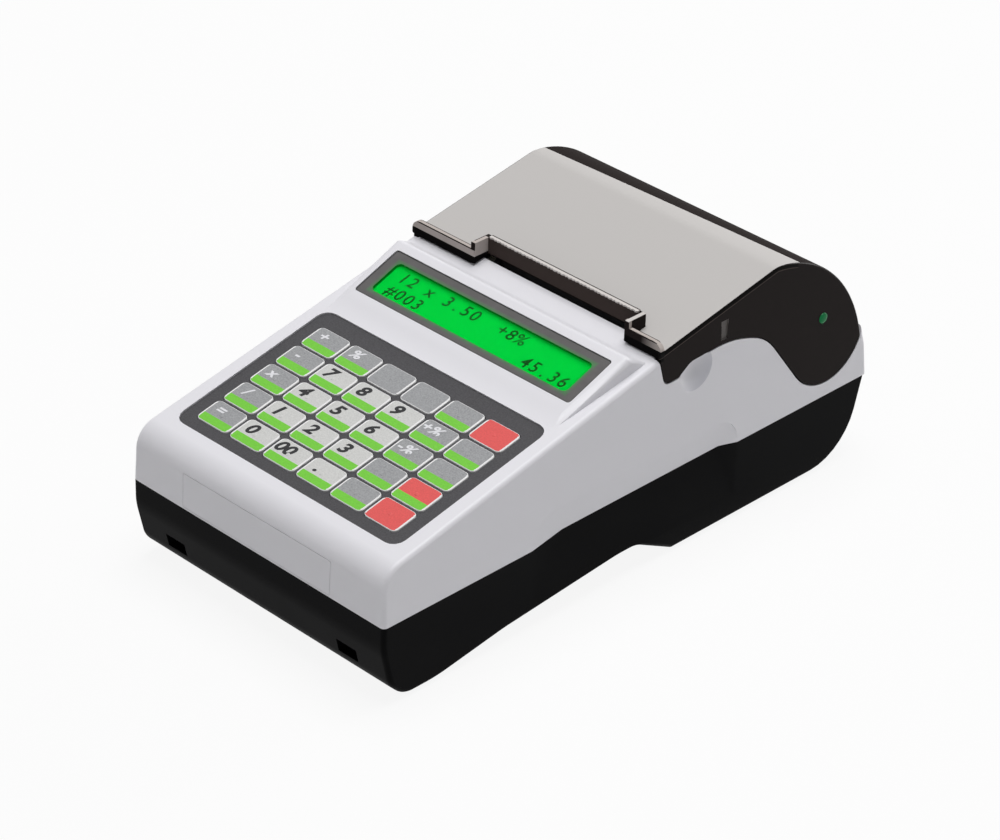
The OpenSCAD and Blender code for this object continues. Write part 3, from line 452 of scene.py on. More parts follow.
def between(tree, value, span):
    """1 where value lies between the two ends of span."""
    return math_node(tree, "MULTIPLY", over(tree, value, span[0]), over(tree, span[1], value))


def distance(tree, value, centre):
    """How far value lies from centre, to either side."""
    return math_node(tree, "ABSOLUTE", math_node(tree, "SUBTRACT", value, centre), 0.0)


def product(tree, values):
    total = values[0]
    for value in values[1:]:
        total = math_node(tree, "MULTIPLY", total, value)
    return total


def map_range(tree, value, start, stop, first, last):
    """Turns values from start to stop into first to last, and holds the ends."""
    made = node(tree, "ShaderNodeMapRange")
    ends = (("From Min", start), ("From Max", stop), ("To Min", first), ("To Max", last))
    for label, number in ends:
        made.inputs[label].default_value = number
    join(tree, value, made.inputs["Value"])
    return made.outputs["Result"]


def blend(tree, first, second, factor):
    mix = node(tree, "ShaderNodeMix", data_type="RGBA")
    mix.inputs["A"].default_value = first
    mix.inputs["B"].default_value = second
    join(tree, factor, mix.inputs["Factor"])
    return mix.outputs["Result"]


def depth_under_roof(tree, y, z):
    """How far a place lies under the roof's profile: a slope, then the arc of the back."""
    along = math_node(tree, "SUBTRACT", y, LIP_Y)
    plane = math_node(tree, "ADD", math_node(tree, "MULTIPLY", along, ROOF_RISE), ROOF_FRONT_Z)
    behind = math_node(tree, "MAXIMUM", math_node(tree, "SUBTRACT", y, BACK_CENTRE_Y), 0.0)
    reach = math_node(tree, "POWER", behind, 2.0)
    drop = math_node(tree, "POWER", math_node(tree, "SUBTRACT", BACK_RADIUS ** 2, reach), 0.5)
    back = math_node(tree, "ADD", drop, BACK_CENTRE_Z)
    return math_node(tree, "SUBTRACT", math_node(tree, "MINIMUM", plane, back), z)


def over_side(tree, x, z):
    """1 outside the roof's side edge, which leans in with height."""
    lean = math_node(tree, "MULTIPLY", z, SIDE_LEAN)
    side = math_node(tree, "SUBTRACT", FIELD_HALF + FIELD_HALF_Z * SIDE_LEAN - FIELD_MARGIN, lean)
    return over(tree, math_node(tree, "ABSOLUTE", x, 0.0), side)


def cheek_band(tree, x, y, z, depths):
    """1 on the cheeks between two depths under the roof's edge, where lines of painted shade and
    highlight run.
    """
    band = between(tree, depth_under_roof(tree, y, z), depths)
    return product(tree, [over_side(tree, x, z), band, over(tree, CHEEK_LINE_END, y)])


def roof_reflection_mask(tree, x, y, z):
    """1 on the pale field of the roof, which is a painted reflection."""
    skin = between(tree, depth_under_roof(tree, y, z), ROOF_SKIN)
    end = math_node(tree, "ADD", math_node(tree, "MULTIPLY", x, FIELD_SLANT), FIELD_END)
    beside = over(tree, distance(tree, x, NOTCH_MIDDLE), NOTCH_HALF)
    clear = math_node(tree, "MAXIMUM", beside, over(tree, y, FRAME_BACK + FRAME_RIM))
    inside = math_node(tree, "SUBTRACT", 1.0, over_side(tree, x, z))
    return product(tree, [skin, over(tree, y, ROOF_START), over(tree, end, y), inside, clear])


def lit_lip_mask(tree, x, y, z):
    """1 on the upper half of the lip and of the notch's left wall, inside dark rims, where light
    catching them is painted pale.
    """
    inside = math_node(tree, "MAXIMUM", over(tree, LIP_TOP_Z - TOP_RIM, z),
                       between(tree, y, LIP_INSIDE))
    lip = product(tree, [over(tree, LIP_BACK, y), over(tree, z, LIP_MIDDLE_Z), inside])
    wall = product(tree, [between(tree, y, WALL_LENGTH), between(tree, x, LEFT_WALL),
                          over(tree, z, LIP_MIDDLE_Z)])
    return math_node(tree, "MAXIMUM", lip, wall)


def lip_foot_mask(tree, x, y, z):
    """1 on the lower half of the lip and of the notch's side walls."""
    off = distance(tree, x, NOTCH_MIDDLE)
    lip = over(tree, LIP_BACK, y)
    wall = product(tree, [over(tree, FRAME_FRONT, y), over(tree, NOTCH_HALF + MASK_REACH, off)])
    return product(tree, [math_node(tree, "MAXIMUM", lip, wall), over(tree, LIP_MIDDLE_Z, z),
                          over(tree, z, LIP_FOOT_Z)])


def highlight_edge_mask(tree, x, y, z):
    """1 on the top of the notch's right wall, which is painted pale as a highlight."""
    return product(tree, [over(tree, z, RIGHT_WALL_TOP), over(tree, FRAME_BACK, y),
                          between(tree, x, RIGHT_WALL)])


def wall_mask(tree, x, y, z):
    """1 on the front of the frame that the ticket slides up along."""
    off = distance(tree, x, NOTCH_MIDDLE)
    return product(tree, [between(tree, y, TICKET_WALL), over(tree, TICKET_HALF, off)])


def mark_mask(tree, x, y, z):
    """1 on the floor of the small recess in each cheek."""
    along, up = distance(tree, y, MARK_Y), distance(tree, z, MARK_Z)
    floor = between(tree, math_node(tree, "ABSOLUTE", x, 0.0), MARK_FLOOR)
    return product(tree, [over(tree, MARK_HALF_Y, along), over(tree, MARK_HALF_Z, up), floor])


def smoked_cover_finish():
    smoke = swatch(35, 30, 29)
    material = finish("cover_smoke", smoke, gloss=0.2, change=0.04, depth=0.000002, shine=0.03)
    tree = material.node_tree
    shader = tree.nodes["Principled BSDF"]
    x, y, z = object_place(tree)
    # The lip's upper half is painted pale as light; on its front face right of the notch that painted
    # light is held back, and it returns towards the right end
    front = product(tree, [over(tree, LIP_FACE, y), over(tree, x, NOTCH_MIDDLE)])
    dark_front = math_node(tree, "MULTIPLY", front, map_range(tree, x, *LIP_FADE, 1.0, 0.1))
    thin = math_node(tree, "MULTIPLY", lit_lip_mask(tree, x, y, z),
                     math_node(tree, "SUBTRACT", 1.0, dark_front))
    # The lip's upper half, the right wall's top, the cheek lines and the roof field are painted light
    # and shade
    paints = [(thin, swatch(186, 177, 172)), (mark_mask(tree, x, y, z), swatch(112, 108, 106)),
              (highlight_edge_mask(tree, x, y, z), swatch(205, 200, 197)),
              (lip_foot_mask(tree, x, y, z), swatch(7, 6, 6)),
              (cheek_band(tree, x, y, z, CHEEK_SHADE_LINE), swatch(13, 11, 10)),
              (cheek_band(tree, x, y, z, CHEEK_HIGHLIGHT_LINE), swatch(74, 66, 62)),
              (wall_mask(tree, x, y, z), swatch(70, 61, 58)),
              (roof_reflection_mask(tree, x, y, z), swatch(196, 193, 191))]
    last = None
    for mask, color in paints:
        layer = node(tree, "ShaderNodeMix", data_type="RGBA")
        layer.inputs["A"].default_value = smoke
        layer.inputs["B"].default_value = color
        join(tree, mask, layer.inputs["Factor"])
        if last:
            join(tree, last, layer.inputs["A"])
        last = layer.outputs["Result"]
    join(tree, last, shader.inputs["Base Color"])
    grained = shader.inputs["Roughness"].links[0].from_socket
    off_cheeks = math_node(tree, "SUBTRACT", 1.0, over_side(tree, x, z))
    satin = math_node(tree, "MULTIPLY", off_cheeks, SATIN_GLOSS)
    join(tree, math_node(tree, "MAXIMUM", grained, satin), shader.inputs["Roughness"])
    return material


COVER_SMOKE = smoked_cover_finish()
print("cover roof from", round(LIP_Y, 4), "to", round(FIELD_END, 4))

# %% [markdown]
# ## The shaded thumb scoop
#
# A shallow scoop in each side of the white case lets a thumb reach under the
# cover. It is too shallow to stand out by its depth alone, so the white turns a
# little darker in it, by place. The shade ends sharply at the scoop's rim and
# fades towards its front.

# %% Shade the scoops
SCOOP_Y = LIP_Y + 15.6 * MM
SCOOP_Z = 58.93 * MM
SCOOP_REACH = 6.9 * MM
SCOOP_FADE = (-2.5 * MM, 6.0 * MM)
# The shade fades along this direction in Y and Z, and only far out to each side
SCOOP_WAY = (0.8, 0.6)
SCOOP_SIDE = 45.0 * MM


def shade_scoops(material, shade):
    tree = material.node_tree
    shader = tree.nodes["Principled BSDF"]
    x, y, z = object_place(tree)
    off_y = math_node(tree, "SUBTRACT", y, SCOOP_Y)
    off_z = math_node(tree, "SUBTRACT", z, SCOOP_Z)
    squares = math_node(tree, "ADD", math_node(tree, "MULTIPLY", off_y, off_y),
                        math_node(tree, "MULTIPLY", off_z, off_z))
    reach = math_node(tree, "POWER", squares, 0.5)
    turned = math_node(tree, "SUBTRACT", math_node(tree, "MULTIPLY", off_y, SCOOP_WAY[0]),
                       math_node(tree, "MULTIPLY", off_z, SCOOP_WAY[1]))
    fade = map_range(tree, turned, *SCOOP_FADE, 0.0, 1.0)
    wide = over(tree, math_node(tree, "ABSOLUTE", x, 0.0), SCOOP_SIDE)
    mask = product(tree, [fade, over(tree, SCOOP_REACH, reach), wide])
    white = tuple(shader.inputs["Base Color"].default_value)
    join(tree, blend(tree, white, shade, mask), shader.inputs["Base Color"])


shade_scoops(CASE_WHITE, swatch(200, 200, 208))
print("scoops shaded")

# %% [markdown]
# ## The three big mouldings
#
# A CAD mesh comes as loose triangles. For a smooth look, a copy is merged and
# its flat areas are joined into single faces. A narrow bevel breaks the sharp
# edges, as moulding does, so that they catch a thin line of light. Faces that
# meet at a shallow angle are shaded as one surface, and weighted normals keep
# the large faces flat up to their rims.

# %% Smooth mouldings
SMOOTH_LIMIT = math.radians(32)
SHARP_LIMIT = math.radians(45)
FLAT_LIMIT = math.radians(0.3)
MERGE_REACH = 0.002 * MM


def break_edges(piece, width):
    """Bevels the sharp edges, shades the piece smooth and evens its normals."""
    pick(piece)
    edge = piece.modifiers.new("broken_edges", "BEVEL")
    edge.width = width
    edge.segments = 2
    edge.limit_method = "ANGLE"
    edge.angle_limit = SHARP_LIMIT
    bpy.ops.object.modifier_apply(modifier=edge.name)
    bpy.ops.object.shade_smooth_by_angle(angle=SMOOTH_LIMIT)
    even = piece.modifiers.new("even_normals", "WEIGHTED_NORMAL")
    even.keep_sharp = True
    bpy.ops.object.modifier_apply(modifier=even.name)


def smooth_copy(node_name, name, material, body, bevel):
    """A merged copy of a CAD node, shaded smooth, that stands for it."""
    piece = add_object(name, frame["nodes"][node_name].data.copy())
    pick(piece)
    bpy.ops.object.mode_set(mode="EDIT")
    bpy.ops.mesh.select_all(action="SELECT")
    bpy.ops.mesh.remove_doubles(threshold=MERGE_REACH)
    bpy.ops.mesh.dissolve_limited(angle_limit=FLAT_LIMIT)
    bpy.ops.object.mode_set(mode="OBJECT")
    break_edges(piece, bevel)
    coat(piece, material)
    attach(piece, body)
    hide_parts(node_name)
    print(name, len(piece.data.polygons), "faces")
    return piece


base_piece = smooth_copy("base_shell", "base_moulding", BASE_BLACK, "case", 0.15 * MM)
case_piece = smooth_copy("case_top", "case_moulding", CASE_WHITE, "case", 0.12 * MM)
cover_piece = smooth_copy("printer_cover", "cover_moulding", COVER_SMOKE, "cover", 0.15 * MM)

# %% [markdown]
# ## Finishes of the other solids
#
# The small parts keep their CAD meshes, which are already the right shape. Each
# only needs its finish. A table from part to finish is easy to read and to check.

# %% Dress the small parts
PART_FINISH = {
    "port_cover": CASE_WHITE, "keypad_panel": PANEL_GREY, "dome_sheet": DOME_WHITE,
    "keypad_board": BOARD_GREEN, "lcd_board": BOARD_GREEN, "main_board": BOARD_GREEN,
    "memory_module": CHIP_BLACK, "battery_pack": BATTERY_BLUE, "battery_door": BASE_BLACK,
    "rubber_feet": RUBBER, "case_screws": STEEL, "power_inlet": SOCKET_BLACK,
    "drawer_socket": SOCKET_BLACK, "printer_frame": FRAME_DARK, "print_head": STEEL,
    "head_springs": STEEL, "roller_bushes": GEAR_CREAM, "platen_roller": RUBBER,
    "platen_gear": GEAR_CREAM, "idler_gear": GEAR_CREAM, "motor_pinion": BRASS,
    "stepper_motor": STEEL, "paper_roll": PAPER,
}


def dress(node_name, material):
    coat(frame["nodes"][node_name], material)


for part, material in PART_FINISH.items():
    dress(part, material)
print("dressed", len(PART_FINISH), "parts")

# %% [markdown]
# ## The tear bar
#
# The ticket is torn off against a finely toothed strip on the notch's frame. It
# is modelled from a flat bar: its long edges are cut into even lengths, and every
# second point along the front is drawn back, which leaves one tooth a millimetre.

# %% Tear bar
TOOTH = 1.0 * MM
TOOTH_DEPTH = 0.32 * MM
TIP_BACK = 0.1 * MM
TINY = 0.001 * MM
REAR_LINE = 0.4 * MM


def make_tear_bar():
    low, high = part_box("tear_bar")
    bpy.ops.mesh.primitive_cube_add(size=1.0, location=(low + high) / 2)
    bar = bpy.context.active_object
    bar.name = "tear_strip"
    bar.scale = high - low
    rest_at_origin(bar)
    teeth = round((high.x - low.x) / TOOTH)
    bpy.ops.object.mode_set(mode="EDIT")
    select_where(bar, lambda e: runs_along_x(bar, e), "EDGE")
    bpy.ops.mesh.subdivide(number_cuts=2 * teeth - 1)
    bpy.ops.object.mode_set(mode="OBJECT")
    cut_rear(bar, high.y - REAR_LINE)
    for vertex in bar.data.vertices:
        if vertex.co.y < low.y + TINY:
            place = round((vertex.co.x - low.x) / (high.x - low.x) * 2 * teeth)
            vertex.co.y += TIP_BACK if place % 2 else TIP_BACK + TOOTH_DEPTH
    pick(bar)
    bpy.ops.object.shade_smooth_by_angle(angle=SMOOTH_LIMIT)
    coat(bar, TEAR_CLEAR, COVER_SMOKE)
    for face in bar.data.polygons:
        face.material_index = 1 if face.center.y > high.y - REAR_LINE else 0
    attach(bar, "cover")
    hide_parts("tear_bar")
    print("tear bar with", teeth, "teeth")


def cut_rear(bar, place):
    """A cut along the bar, behind which it is as dark as the cover."""
    bpy.ops.object.mode_set(mode="EDIT")
    bpy.ops.mesh.select_all(action="SELECT")
    bpy.ops.mesh.bisect(plane_co=(0, place, 0), plane_no=(0, 1, 0))
    bpy.ops.object.mode_set(mode="OBJECT")


def runs_along_x(obj, edge):
    a, b = [obj.data.vertices[i].co for i in edge.vertices]
    return abs(a.x - b.x) > 10 * MM


make_tear_bar()

# %% [markdown]
# ## Key caps
#
# A key cap is a low block with rounded corners and a soft top edge. Its printed
# face has a pale outline, a coloured field and, on most keys, a green band
# along the front. One blank cap is modelled from a cube: the upright edges are
# bevelled, then the top edge, the top face is inset for the outline, and a cut
# across it separates the band. A small raised dot marks the middle. The blank is
# then copied to every place, and each copy gets its own colours and sign.

# %% Model one cap
RIM = 0.36 * MM
BAND_SHARE = 0.34
CORNER = 1.7 * MM
TOP_EDGE = 0.22 * MM
FLANGE = 0.25 * MM
DOT_RADIUS, DOT_RISE = 0.62 * MM, 0.22
LARGE_SHARE = 0.15


def model_cap(low, high):
    """A cap between two corners, along the deck's own axes."""
    bpy.ops.mesh.primitive_cube_add(size=1.0, location=(low + high) / 2)
    cap = bpy.context.active_object
    cap.scale = high - low
    rest_at_origin(cap)
    bpy.ops.object.mode_set(mode="EDIT")
    select_where(cap, lambda e: upright(cap, e), "EDGE")
    bpy.ops.mesh.bevel(offset=CORNER, segments=5, affect="EDGES")
    select_where(cap, lambda e: on_top(cap, e, high.z), "EDGE")
    bpy.ops.mesh.bevel(offset=TOP_EDGE, segments=3, affect="EDGES")
    select_where(cap, lambda f: flat_top(f, high.z))
    bpy.ops.mesh.inset(thickness=RIM)
    split = low.y + (high.y - low.y) * BAND_SHARE
    bpy.ops.mesh.bisect(plane_co=(0, split, 0), plane_no=(0, 1, 0))
    bpy.ops.object.mode_set(mode="OBJECT")
    return cap


def upright(obj, edge):
    a, b = [obj.data.vertices[i].co for i in edge.vertices]
    return (a - b).xy.length < TINY


def on_top(obj, edge, z):
    return all(abs(obj.data.vertices[i].co.z - z) < TINY for i in edge.vertices)


def flat_top(face, z):
    return face.normal.z > 0.99 and face.center.z > z - 0.01 * MM


def paint_cap(cap, low, high):
    """Assigns the outline, the field and the band to the faces of the top."""
    mesh = cap.data
    coat(cap, KEY_RIM, KEY_GREY, KEY_GREEN)
    split = low.y + (high.y - low.y) * BAND_SHARE
    inner_x = (high.x - low.x) / 2 - RIM * 0.9
    middle_x = (high.x + low.x) / 2
    for face in mesh.polygons:
        inside = all(abs(mesh.vertices[i].co.x - middle_x) < inner_x - 0.1 * MM
                     for i in face.vertices)
        large = face.area > (high.x - low.x) * (high.y - low.y) * LARGE_SHARE
        face.material_index = 0
        if flat_top(face, high.z) and (inside or large):
            face.material_index = 1 if face.center.y > split else 2


def add_dot(cap, middle, z):
    """A small raised dot in the middle of the cap."""
    bpy.ops.mesh.primitive_uv_sphere_add(segments=20, ring_count=10, radius=DOT_RADIUS,
                                         location=(middle.x, middle.y, z))
    dot = bpy.context.active_object
    dot.scale.z = DOT_RISE
    rest_at_origin(dot)
    coat(dot, KEY_GREY)
    pick(cap, dot)
    bpy.ops.object.join()


def cap_corners(node_name):
    """Corners of the cap above the panel: the solid's box less its hidden flange."""
    low, high = local_span(node_name, DECK_TILT)
    flange = Vector((FLANGE, FLANGE, 0))
    return low + flange, high - flange


blank_low, blank_high = cap_corners("key_c1_r1")
blank_cap = model_cap(blank_low, blank_high)
paint_cap(blank_cap, blank_low, blank_high)
add_dot(blank_cap, (blank_low + blank_high) / 2, blank_high.z)
bpy.ops.object.shade_smooth_by_angle(angle=SMOOTH_LIMIT)
print("blank cap", [round(v / MM, 2) for v in blank_high - blank_low], "mm")

# %% [markdown]
# ## Signs on the keys
#
# The digits are text objects, slanted and a little heavier than the font's own
# weight, made into thin meshes and joined to their cap, so they move with it.
# A texture could hold them too, but a mesh stays sharp at any distance.

# %% Model the signs
SIGN_LIFT = 0.02 * MM
FONT_SCALE = 1.4


def text_mesh(words, height, slant=0.25, weight=0.0, stretch=1.0):
    """Flat text of that height at the origin, as a mesh."""
    bpy.ops.object.text_add(location=(0, 0, 0))
    text = bpy.context.active_object
    text.data.body = words
    text.data.size = height * FONT_SCALE
    text.data.align_x = "CENTER"
    text.data.align_y = "CENTER"
    text.data.shear = slant
    text.data.offset = weight
    text.data.extrude = SIGN_LIFT
    text.data.resolution_u = 4
    pick(text)
    bpy.ops.object.convert(target="MESH")
    sign = bpy.context.active_object
    sign.scale.x = stretch
    return rest_at_origin(sign)


def add_sign(cap, words, place, height, material, weight):
    sign = text_mesh(words, height, weight=height * weight, stretch=1.2)
    sign.location = place
    rest_at_origin(sign)
    coat(sign, material)
    pick(cap, sign)
    bpy.ops.object.join()


# %% Make all the keys
NUMBER_SIGNS = {(2, 2): "7", (3, 2): "8", (4, 2): "9", (2, 3): "4", (3, 3): "5", (4, 3): "6",
                (2, 4): "1", (3, 4): "2", (4, 4): "3", (2, 5): "0", (3, 5): "00", (4, 5): "."}
OTHER_SIGNS = {(1, 1): "+", (1, 2): "-", (1, 3): "x", (1, 4): "/", (1, 5): "=",
               (2, 1): "%", (5, 2): "+%", (5, 3): "-%"}
# Signs sit off the middle of the cap; then come their height, ink and weight
NUMBER_STYLE = ((-2.9 * MM, 1.3 * MM), 4.0 * MM, INK_DARK, 0.05)
OTHER_STYLE = ((-2.6 * MM, 1.5 * MM), 3.4 * MM, INK_PALE, 0.035)


def key_look(column, row):
    """The field and band of a key, as its place on the keypad gives them."""
    if column == 6 and row in (1, 5):
        return KEY_RED, KEY_RED
    if column == 6 and row == 4:
        return KEY_RED, KEY_GREEN
    if row == 1 and column in (3, 4):
        return KEY_GREY, KEY_GREY
    if (column, row) in NUMBER_SIGNS:
        return KEY_LIGHT, KEY_GREEN
    return KEY_GREY, KEY_GREEN


def make_key(column, row):
    """A copy of the blank at one key's place, with its own colours and sign."""
    node_name = "key_c%d_r%d" % (column, row)
    low, high = cap_corners(node_name)
    cap = add_object("cap_c%d_r%d" % (column, row), blank_cap.data.copy())
    cap.location = low - blank_low
    rest_at_origin(cap)
    field, band = key_look(column, row)
    cap.data.materials[1], cap.data.materials[2] = field, band
    middle = (low + high) / 2
    for signs, style in ((NUMBER_SIGNS, NUMBER_STYLE), (OTHER_SIGNS, OTHER_STYLE)):
        if (column, row) in signs:
            shift, *look = style
            place = Vector((middle.x + shift[0], middle.y + shift[1], high.z + SIGN_LIFT))
            add_sign(cap, signs[column, row], place, *look)
    lay_on(cap, DECK_TILT)
    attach(cap, node_name + "_cap")
    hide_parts(node_name)
    return cap


caps = [make_key(column, row) for row in range(1, 6) for column in range(1, 7)]
bpy.data.objects.remove(blank_cap)
print("keys", len(caps), "faces each about", len(caps[0].data.polygons))

# %% [markdown]
# ## The display
#
# The window is a plate with a grey print that leaves a long clear opening. Behind
# it lies the backlit module, and the gap between them gives the green field its
# depth. The printed part is modelled as a frame with a rounded opening, the clear
# part as a thin plate in it, and the module glows. Painted light and shade finish
# it: the walls of the opening glow green and a green glow spreads onto the print
# beside it, the field is darker along its upper and right edges, and a dark rim
# around the plate stands for the gap around it.

# %% Display finishes
GREEN_GLOW = swatch(0, 214, 62)


def glow_finish(name, color, strength):
    material = bpy.data.materials.new(name)
    material.use_nodes = True
    shader = material.node_tree.nodes["Principled BSDF"]
    shader.inputs["Base Color"].default_value = (color[0] * 0.2, color[1] * 0.2, color[2] * 0.2, 1.0)
    shader.inputs["Roughness"].default_value = 0.5
    shader.inputs["Specular IOR Level"].default_value = 0.0
    shader.inputs["Emission Color"].default_value = color
    shader.inputs["Emission Strength"].default_value = strength
    return material


def clear_finish(name, color, gloss):
    material = bpy.data.materials.new(name)
    material.use_nodes = True
    shader = material.node_tree.nodes["Principled BSDF"]
    shader.inputs["Base Color"].default_value = color
    shader.inputs["Roughness"].default_value = gloss
    shader.inputs["Transmission Weight"].default_value = 1.0
    shader.inputs["IOR"].default_value = 1.05
    return material


window_low, window_high = local_span("display_window", DISPLAY_TILT)
OPENING = Vector((80.0, 12.6)) * MM
OPENING_SHIFT = -0.4 * MM
OPENING_CORNER = 1.8 * MM
GLOW_SPILL_SPREAD = 1.3 * MM
TOP_FADE, END_FADE = 1.9 * MM, 2.2 * MM
window_middle = (window_low + window_high) / 2
opening_at = Vector((window_middle.x, window_middle.y + OPENING_SHIFT, 0))


def on_slope(tree):
    place = node(tree, "ShaderNodeGroup", node_tree=SLOPE)
    place.inputs["Angle"].default_value = DISPLAY_TILT
    return place.outputs["Across"], place.outputs["Along"]


def window_print_and_glow_finish():
    """Grey print, with a painted green glow from the lit opening on it beside the opening."""
    grey = swatch(92, 90, 90)
    material = finish("window_grey", grey, gloss=0.3, depth=0.000003, shine=0.3)
    tree = material.node_tree
    across, along = on_slope(tree)
    out_x = math_node(tree, "SUBTRACT", distance(tree, across, opening_at.x), OPENING.x / 2)
    out_y = math_node(tree, "SUBTRACT", distance(tree, along, opening_at.y), OPENING.y / 2)
    out = math_node(tree, "MAXIMUM", out_x, out_y)
    # Painted green light, which fades away from the opening
    near = map_range(tree, out, 0.0, GLOW_SPILL_SPREAD, 0.55, 0.0)
    flecked = node(tree, "ShaderNodeGroup", node_tree=FLECKS)
    flecked.inputs["Fleck Scale"].default_value = 260.0
    flecked.inputs["Contrast"].default_value = 0.5
    join(tree, blend(tree, grey, swatch(46, 142, 62), near), flecked.inputs["Color"])
    join(tree, flecked.outputs["Color"], tree.nodes["Principled BSDF"].inputs["Base Color"])
    return material


def lit_field_finish():
    """The green field, painted darker towards its upper and right edges as the shade of the frame's
    edge.
    """
    material = glow_finish("lcd_green", GREEN_GLOW, 0.62)
    tree = material.node_tree
    across, along = on_slope(tree)
    top_edge = opening_at.y + OPENING.y / 2
    right_edge = opening_at.x + OPENING.x / 2
    # Painted shade along the field's upper and right edges
    top = map_range(tree, along, top_edge - TOP_FADE, top_edge, 0.0, 0.75)
    end = map_range(tree, across, right_edge - END_FADE, right_edge, 0.0, 0.6)
    color = blend(tree, GREEN_GLOW, swatch(0, 120, 26), math_node(tree, "MAXIMUM", top, end))
    join(tree, color, tree.nodes["Principled BSDF"].inputs["Emission Color"])
    return material


WINDOW_GREY = window_print_and_glow_finish()
WINDOW_CLEAR = clear_finish("window_clear", (1.0, 1.0, 1.0, 1.0), 0.05)
LCD_GREEN = lit_field_finish()
# The opening's walls glow green as painted light from the module
OPENING_PAINTED_GLOW = glow_finish("opening_painted_glow", swatch(0, 128, 30), 0.4)
LCD_INK = finish("lcd_ink", swatch(4, 70, 14), gloss=0.6, shine=0.05)
print("display finishes made")

# %% Display window
GAP_SHADE_LINE = 0.3 * MM
WINDOW_CORNER = 0.9 * MM
# Walls of the opening lie within this share of its size from its middle
WALL_REACH = 0.505


def rounded_plate(name, width, depth, radius, low_z, high_z, middle):
    """A plate with rounded upright edges, modelled flat."""
    bpy.ops.mesh.primitive_cube_add(size=1.0, location=(middle.x, middle.y, (low_z + high_z) / 2))
    plate = bpy.context.active_object
    plate.name = name
    plate.scale = (width, depth, high_z - low_z)
    rest_at_origin(plate)
    bpy.ops.object.mode_set(mode="EDIT")
    select_where(plate, lambda e: upright(plate, e), "EDGE")
    bpy.ops.mesh.bevel(offset=radius, segments=6, affect="EDGES")
    bpy.ops.object.mode_set(mode="OBJECT")
    return plate


def make_window():
    width, depth = window_high.x - window_low.x, window_high.y - window_low.y
    plate = rounded_plate("window_print", width, depth, WINDOW_CORNER,
                          window_low.z, window_high.z, window_middle)
    coat(plate, WINDOW_GREY, WINDOW_GAP_SHADE, OPENING_PAINTED_GLOW)
    bpy.ops.object.mode_set(mode="EDIT")
    select_where(plate, lambda f: f.normal.z > 0.99)
    bpy.ops.mesh.inset(thickness=GAP_SHADE_LINE)
    bpy.ops.object.mode_set(mode="OBJECT")
    # Only the inset top keeps the print; its outer rim and the sides are painted dark as the shade of
    # the gap
    for face in plate.data.polygons:
        face.material_index = 0 if face.select else 1
    hole = rounded_plate("hole", OPENING.x, OPENING.y, OPENING_CORNER,
                         window_low.z - MM, window_high.z + MM, opening_at)
    pick(plate)
    cut = plate.modifiers.new("hole", "BOOLEAN")
    cut.object = hole
    bpy.ops.object.modifier_apply(modifier=cut.name)
    bpy.data.objects.remove(hole)
    # The walls of the opening get the painted green glow
    for face in plate.data.polygons:
        away = face.center - opening_at
        near = abs(away.x) < OPENING.x * WALL_REACH and abs(away.y) < OPENING.y * WALL_REACH
        if near and abs(face.normal.z) < 0.5:
            face.material_index = 2
    lay_on(plate, DISPLAY_TILT)
    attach(plate, "case")
    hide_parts("display_window")
    pane = rounded_plate("window_pane", OPENING.x - 0.02 * MM, OPENING.y - 0.02 * MM,
                         OPENING_CORNER, window_low.z + 0.1 * MM, window_high.z - 0.02 * MM,
                         opening_at)
    coat(pane, WINDOW_CLEAR)
    lay_on(pane, DISPLAY_TILT)
    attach(pane, "case")


make_window()
dress("lcd_module", LCD_GREEN)
print("window", round((window_high.x - window_low.x) / MM, 1), "mm wide")

# %% [markdown]
# ## Characters on the display
#
# The module shows two rows of plain numbers. Each character sits in its own
# cell, as on a real character display, so a loop places them one by one.

# %% Display characters
lcd_low, lcd_high = local_span("lcd_module", DISPLAY_TILT)
CELL = 3.72 * MM
CHARACTER = 4.1 * MM
FIRST_CELL = -35.0 * MM
UPPER_ROW, LOWER_ROW = 2.6 * MM, -3.2 * MM
ROWS = [("12 x 3.50  +8%", 0, UPPER_ROW), ("#003", 0, LOWER_ROW), ("45.36", 15, LOWER_ROW)]


def make_characters():
    made = []
    middle_y = (lcd_low.y + lcd_high.y) / 2 - 0.3 * MM
    for words, first, row in ROWS:
        for index, character in enumerate(words):
            if character == " ":
                continue
            sign = text_mesh(character, CHARACTER, slant=0.12, weight=0.05 * MM, stretch=1.05)
            sign.location = (FIRST_CELL + (first + index) * CELL, middle_y + row, lcd_high.z + SIGN_LIFT)
            rest_at_origin(sign)
            made.append(sign)
    pick(*made)
    bpy.ops.object.join()
    rows = bpy.context.active_object
    rows.name = "display_characters"
    coat(rows, LCD_INK)
    for face in rows.data.polygons:
        face.material_index = 0
    lay_on(rows, DISPLAY_TILT)
    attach(rows, "case")


make_characters()
print("characters placed")

# %% [markdown]
# ## The status light
#
# The light is a small domed lens in the cheek of the cover, and it glows a little.
# It starts as a short cylinder in place of the CAD one. Its outer face is inset
# again and again, each time a little less far out, which builds the dome in rings.

# %% Status light
LED_GREEN = glow_finish("led_green", swatch(4, 120, 66), 0.45)
led_shader = LED_GREEN.node_tree.nodes["Principled BSDF"]
led_shader.inputs["Roughness"].default_value = 0.08
led_shader.inputs["Specular IOR Level"].default_value = 0.12
# Each ring of the dome: how far in and how far out it goes, in millimetres
DOME_STEPS = ((0.2, 0.16), (0.32, 0.14), (0.4, 0.09), (0.4, 0.03))
DOME_SMOOTH = math.radians(60)


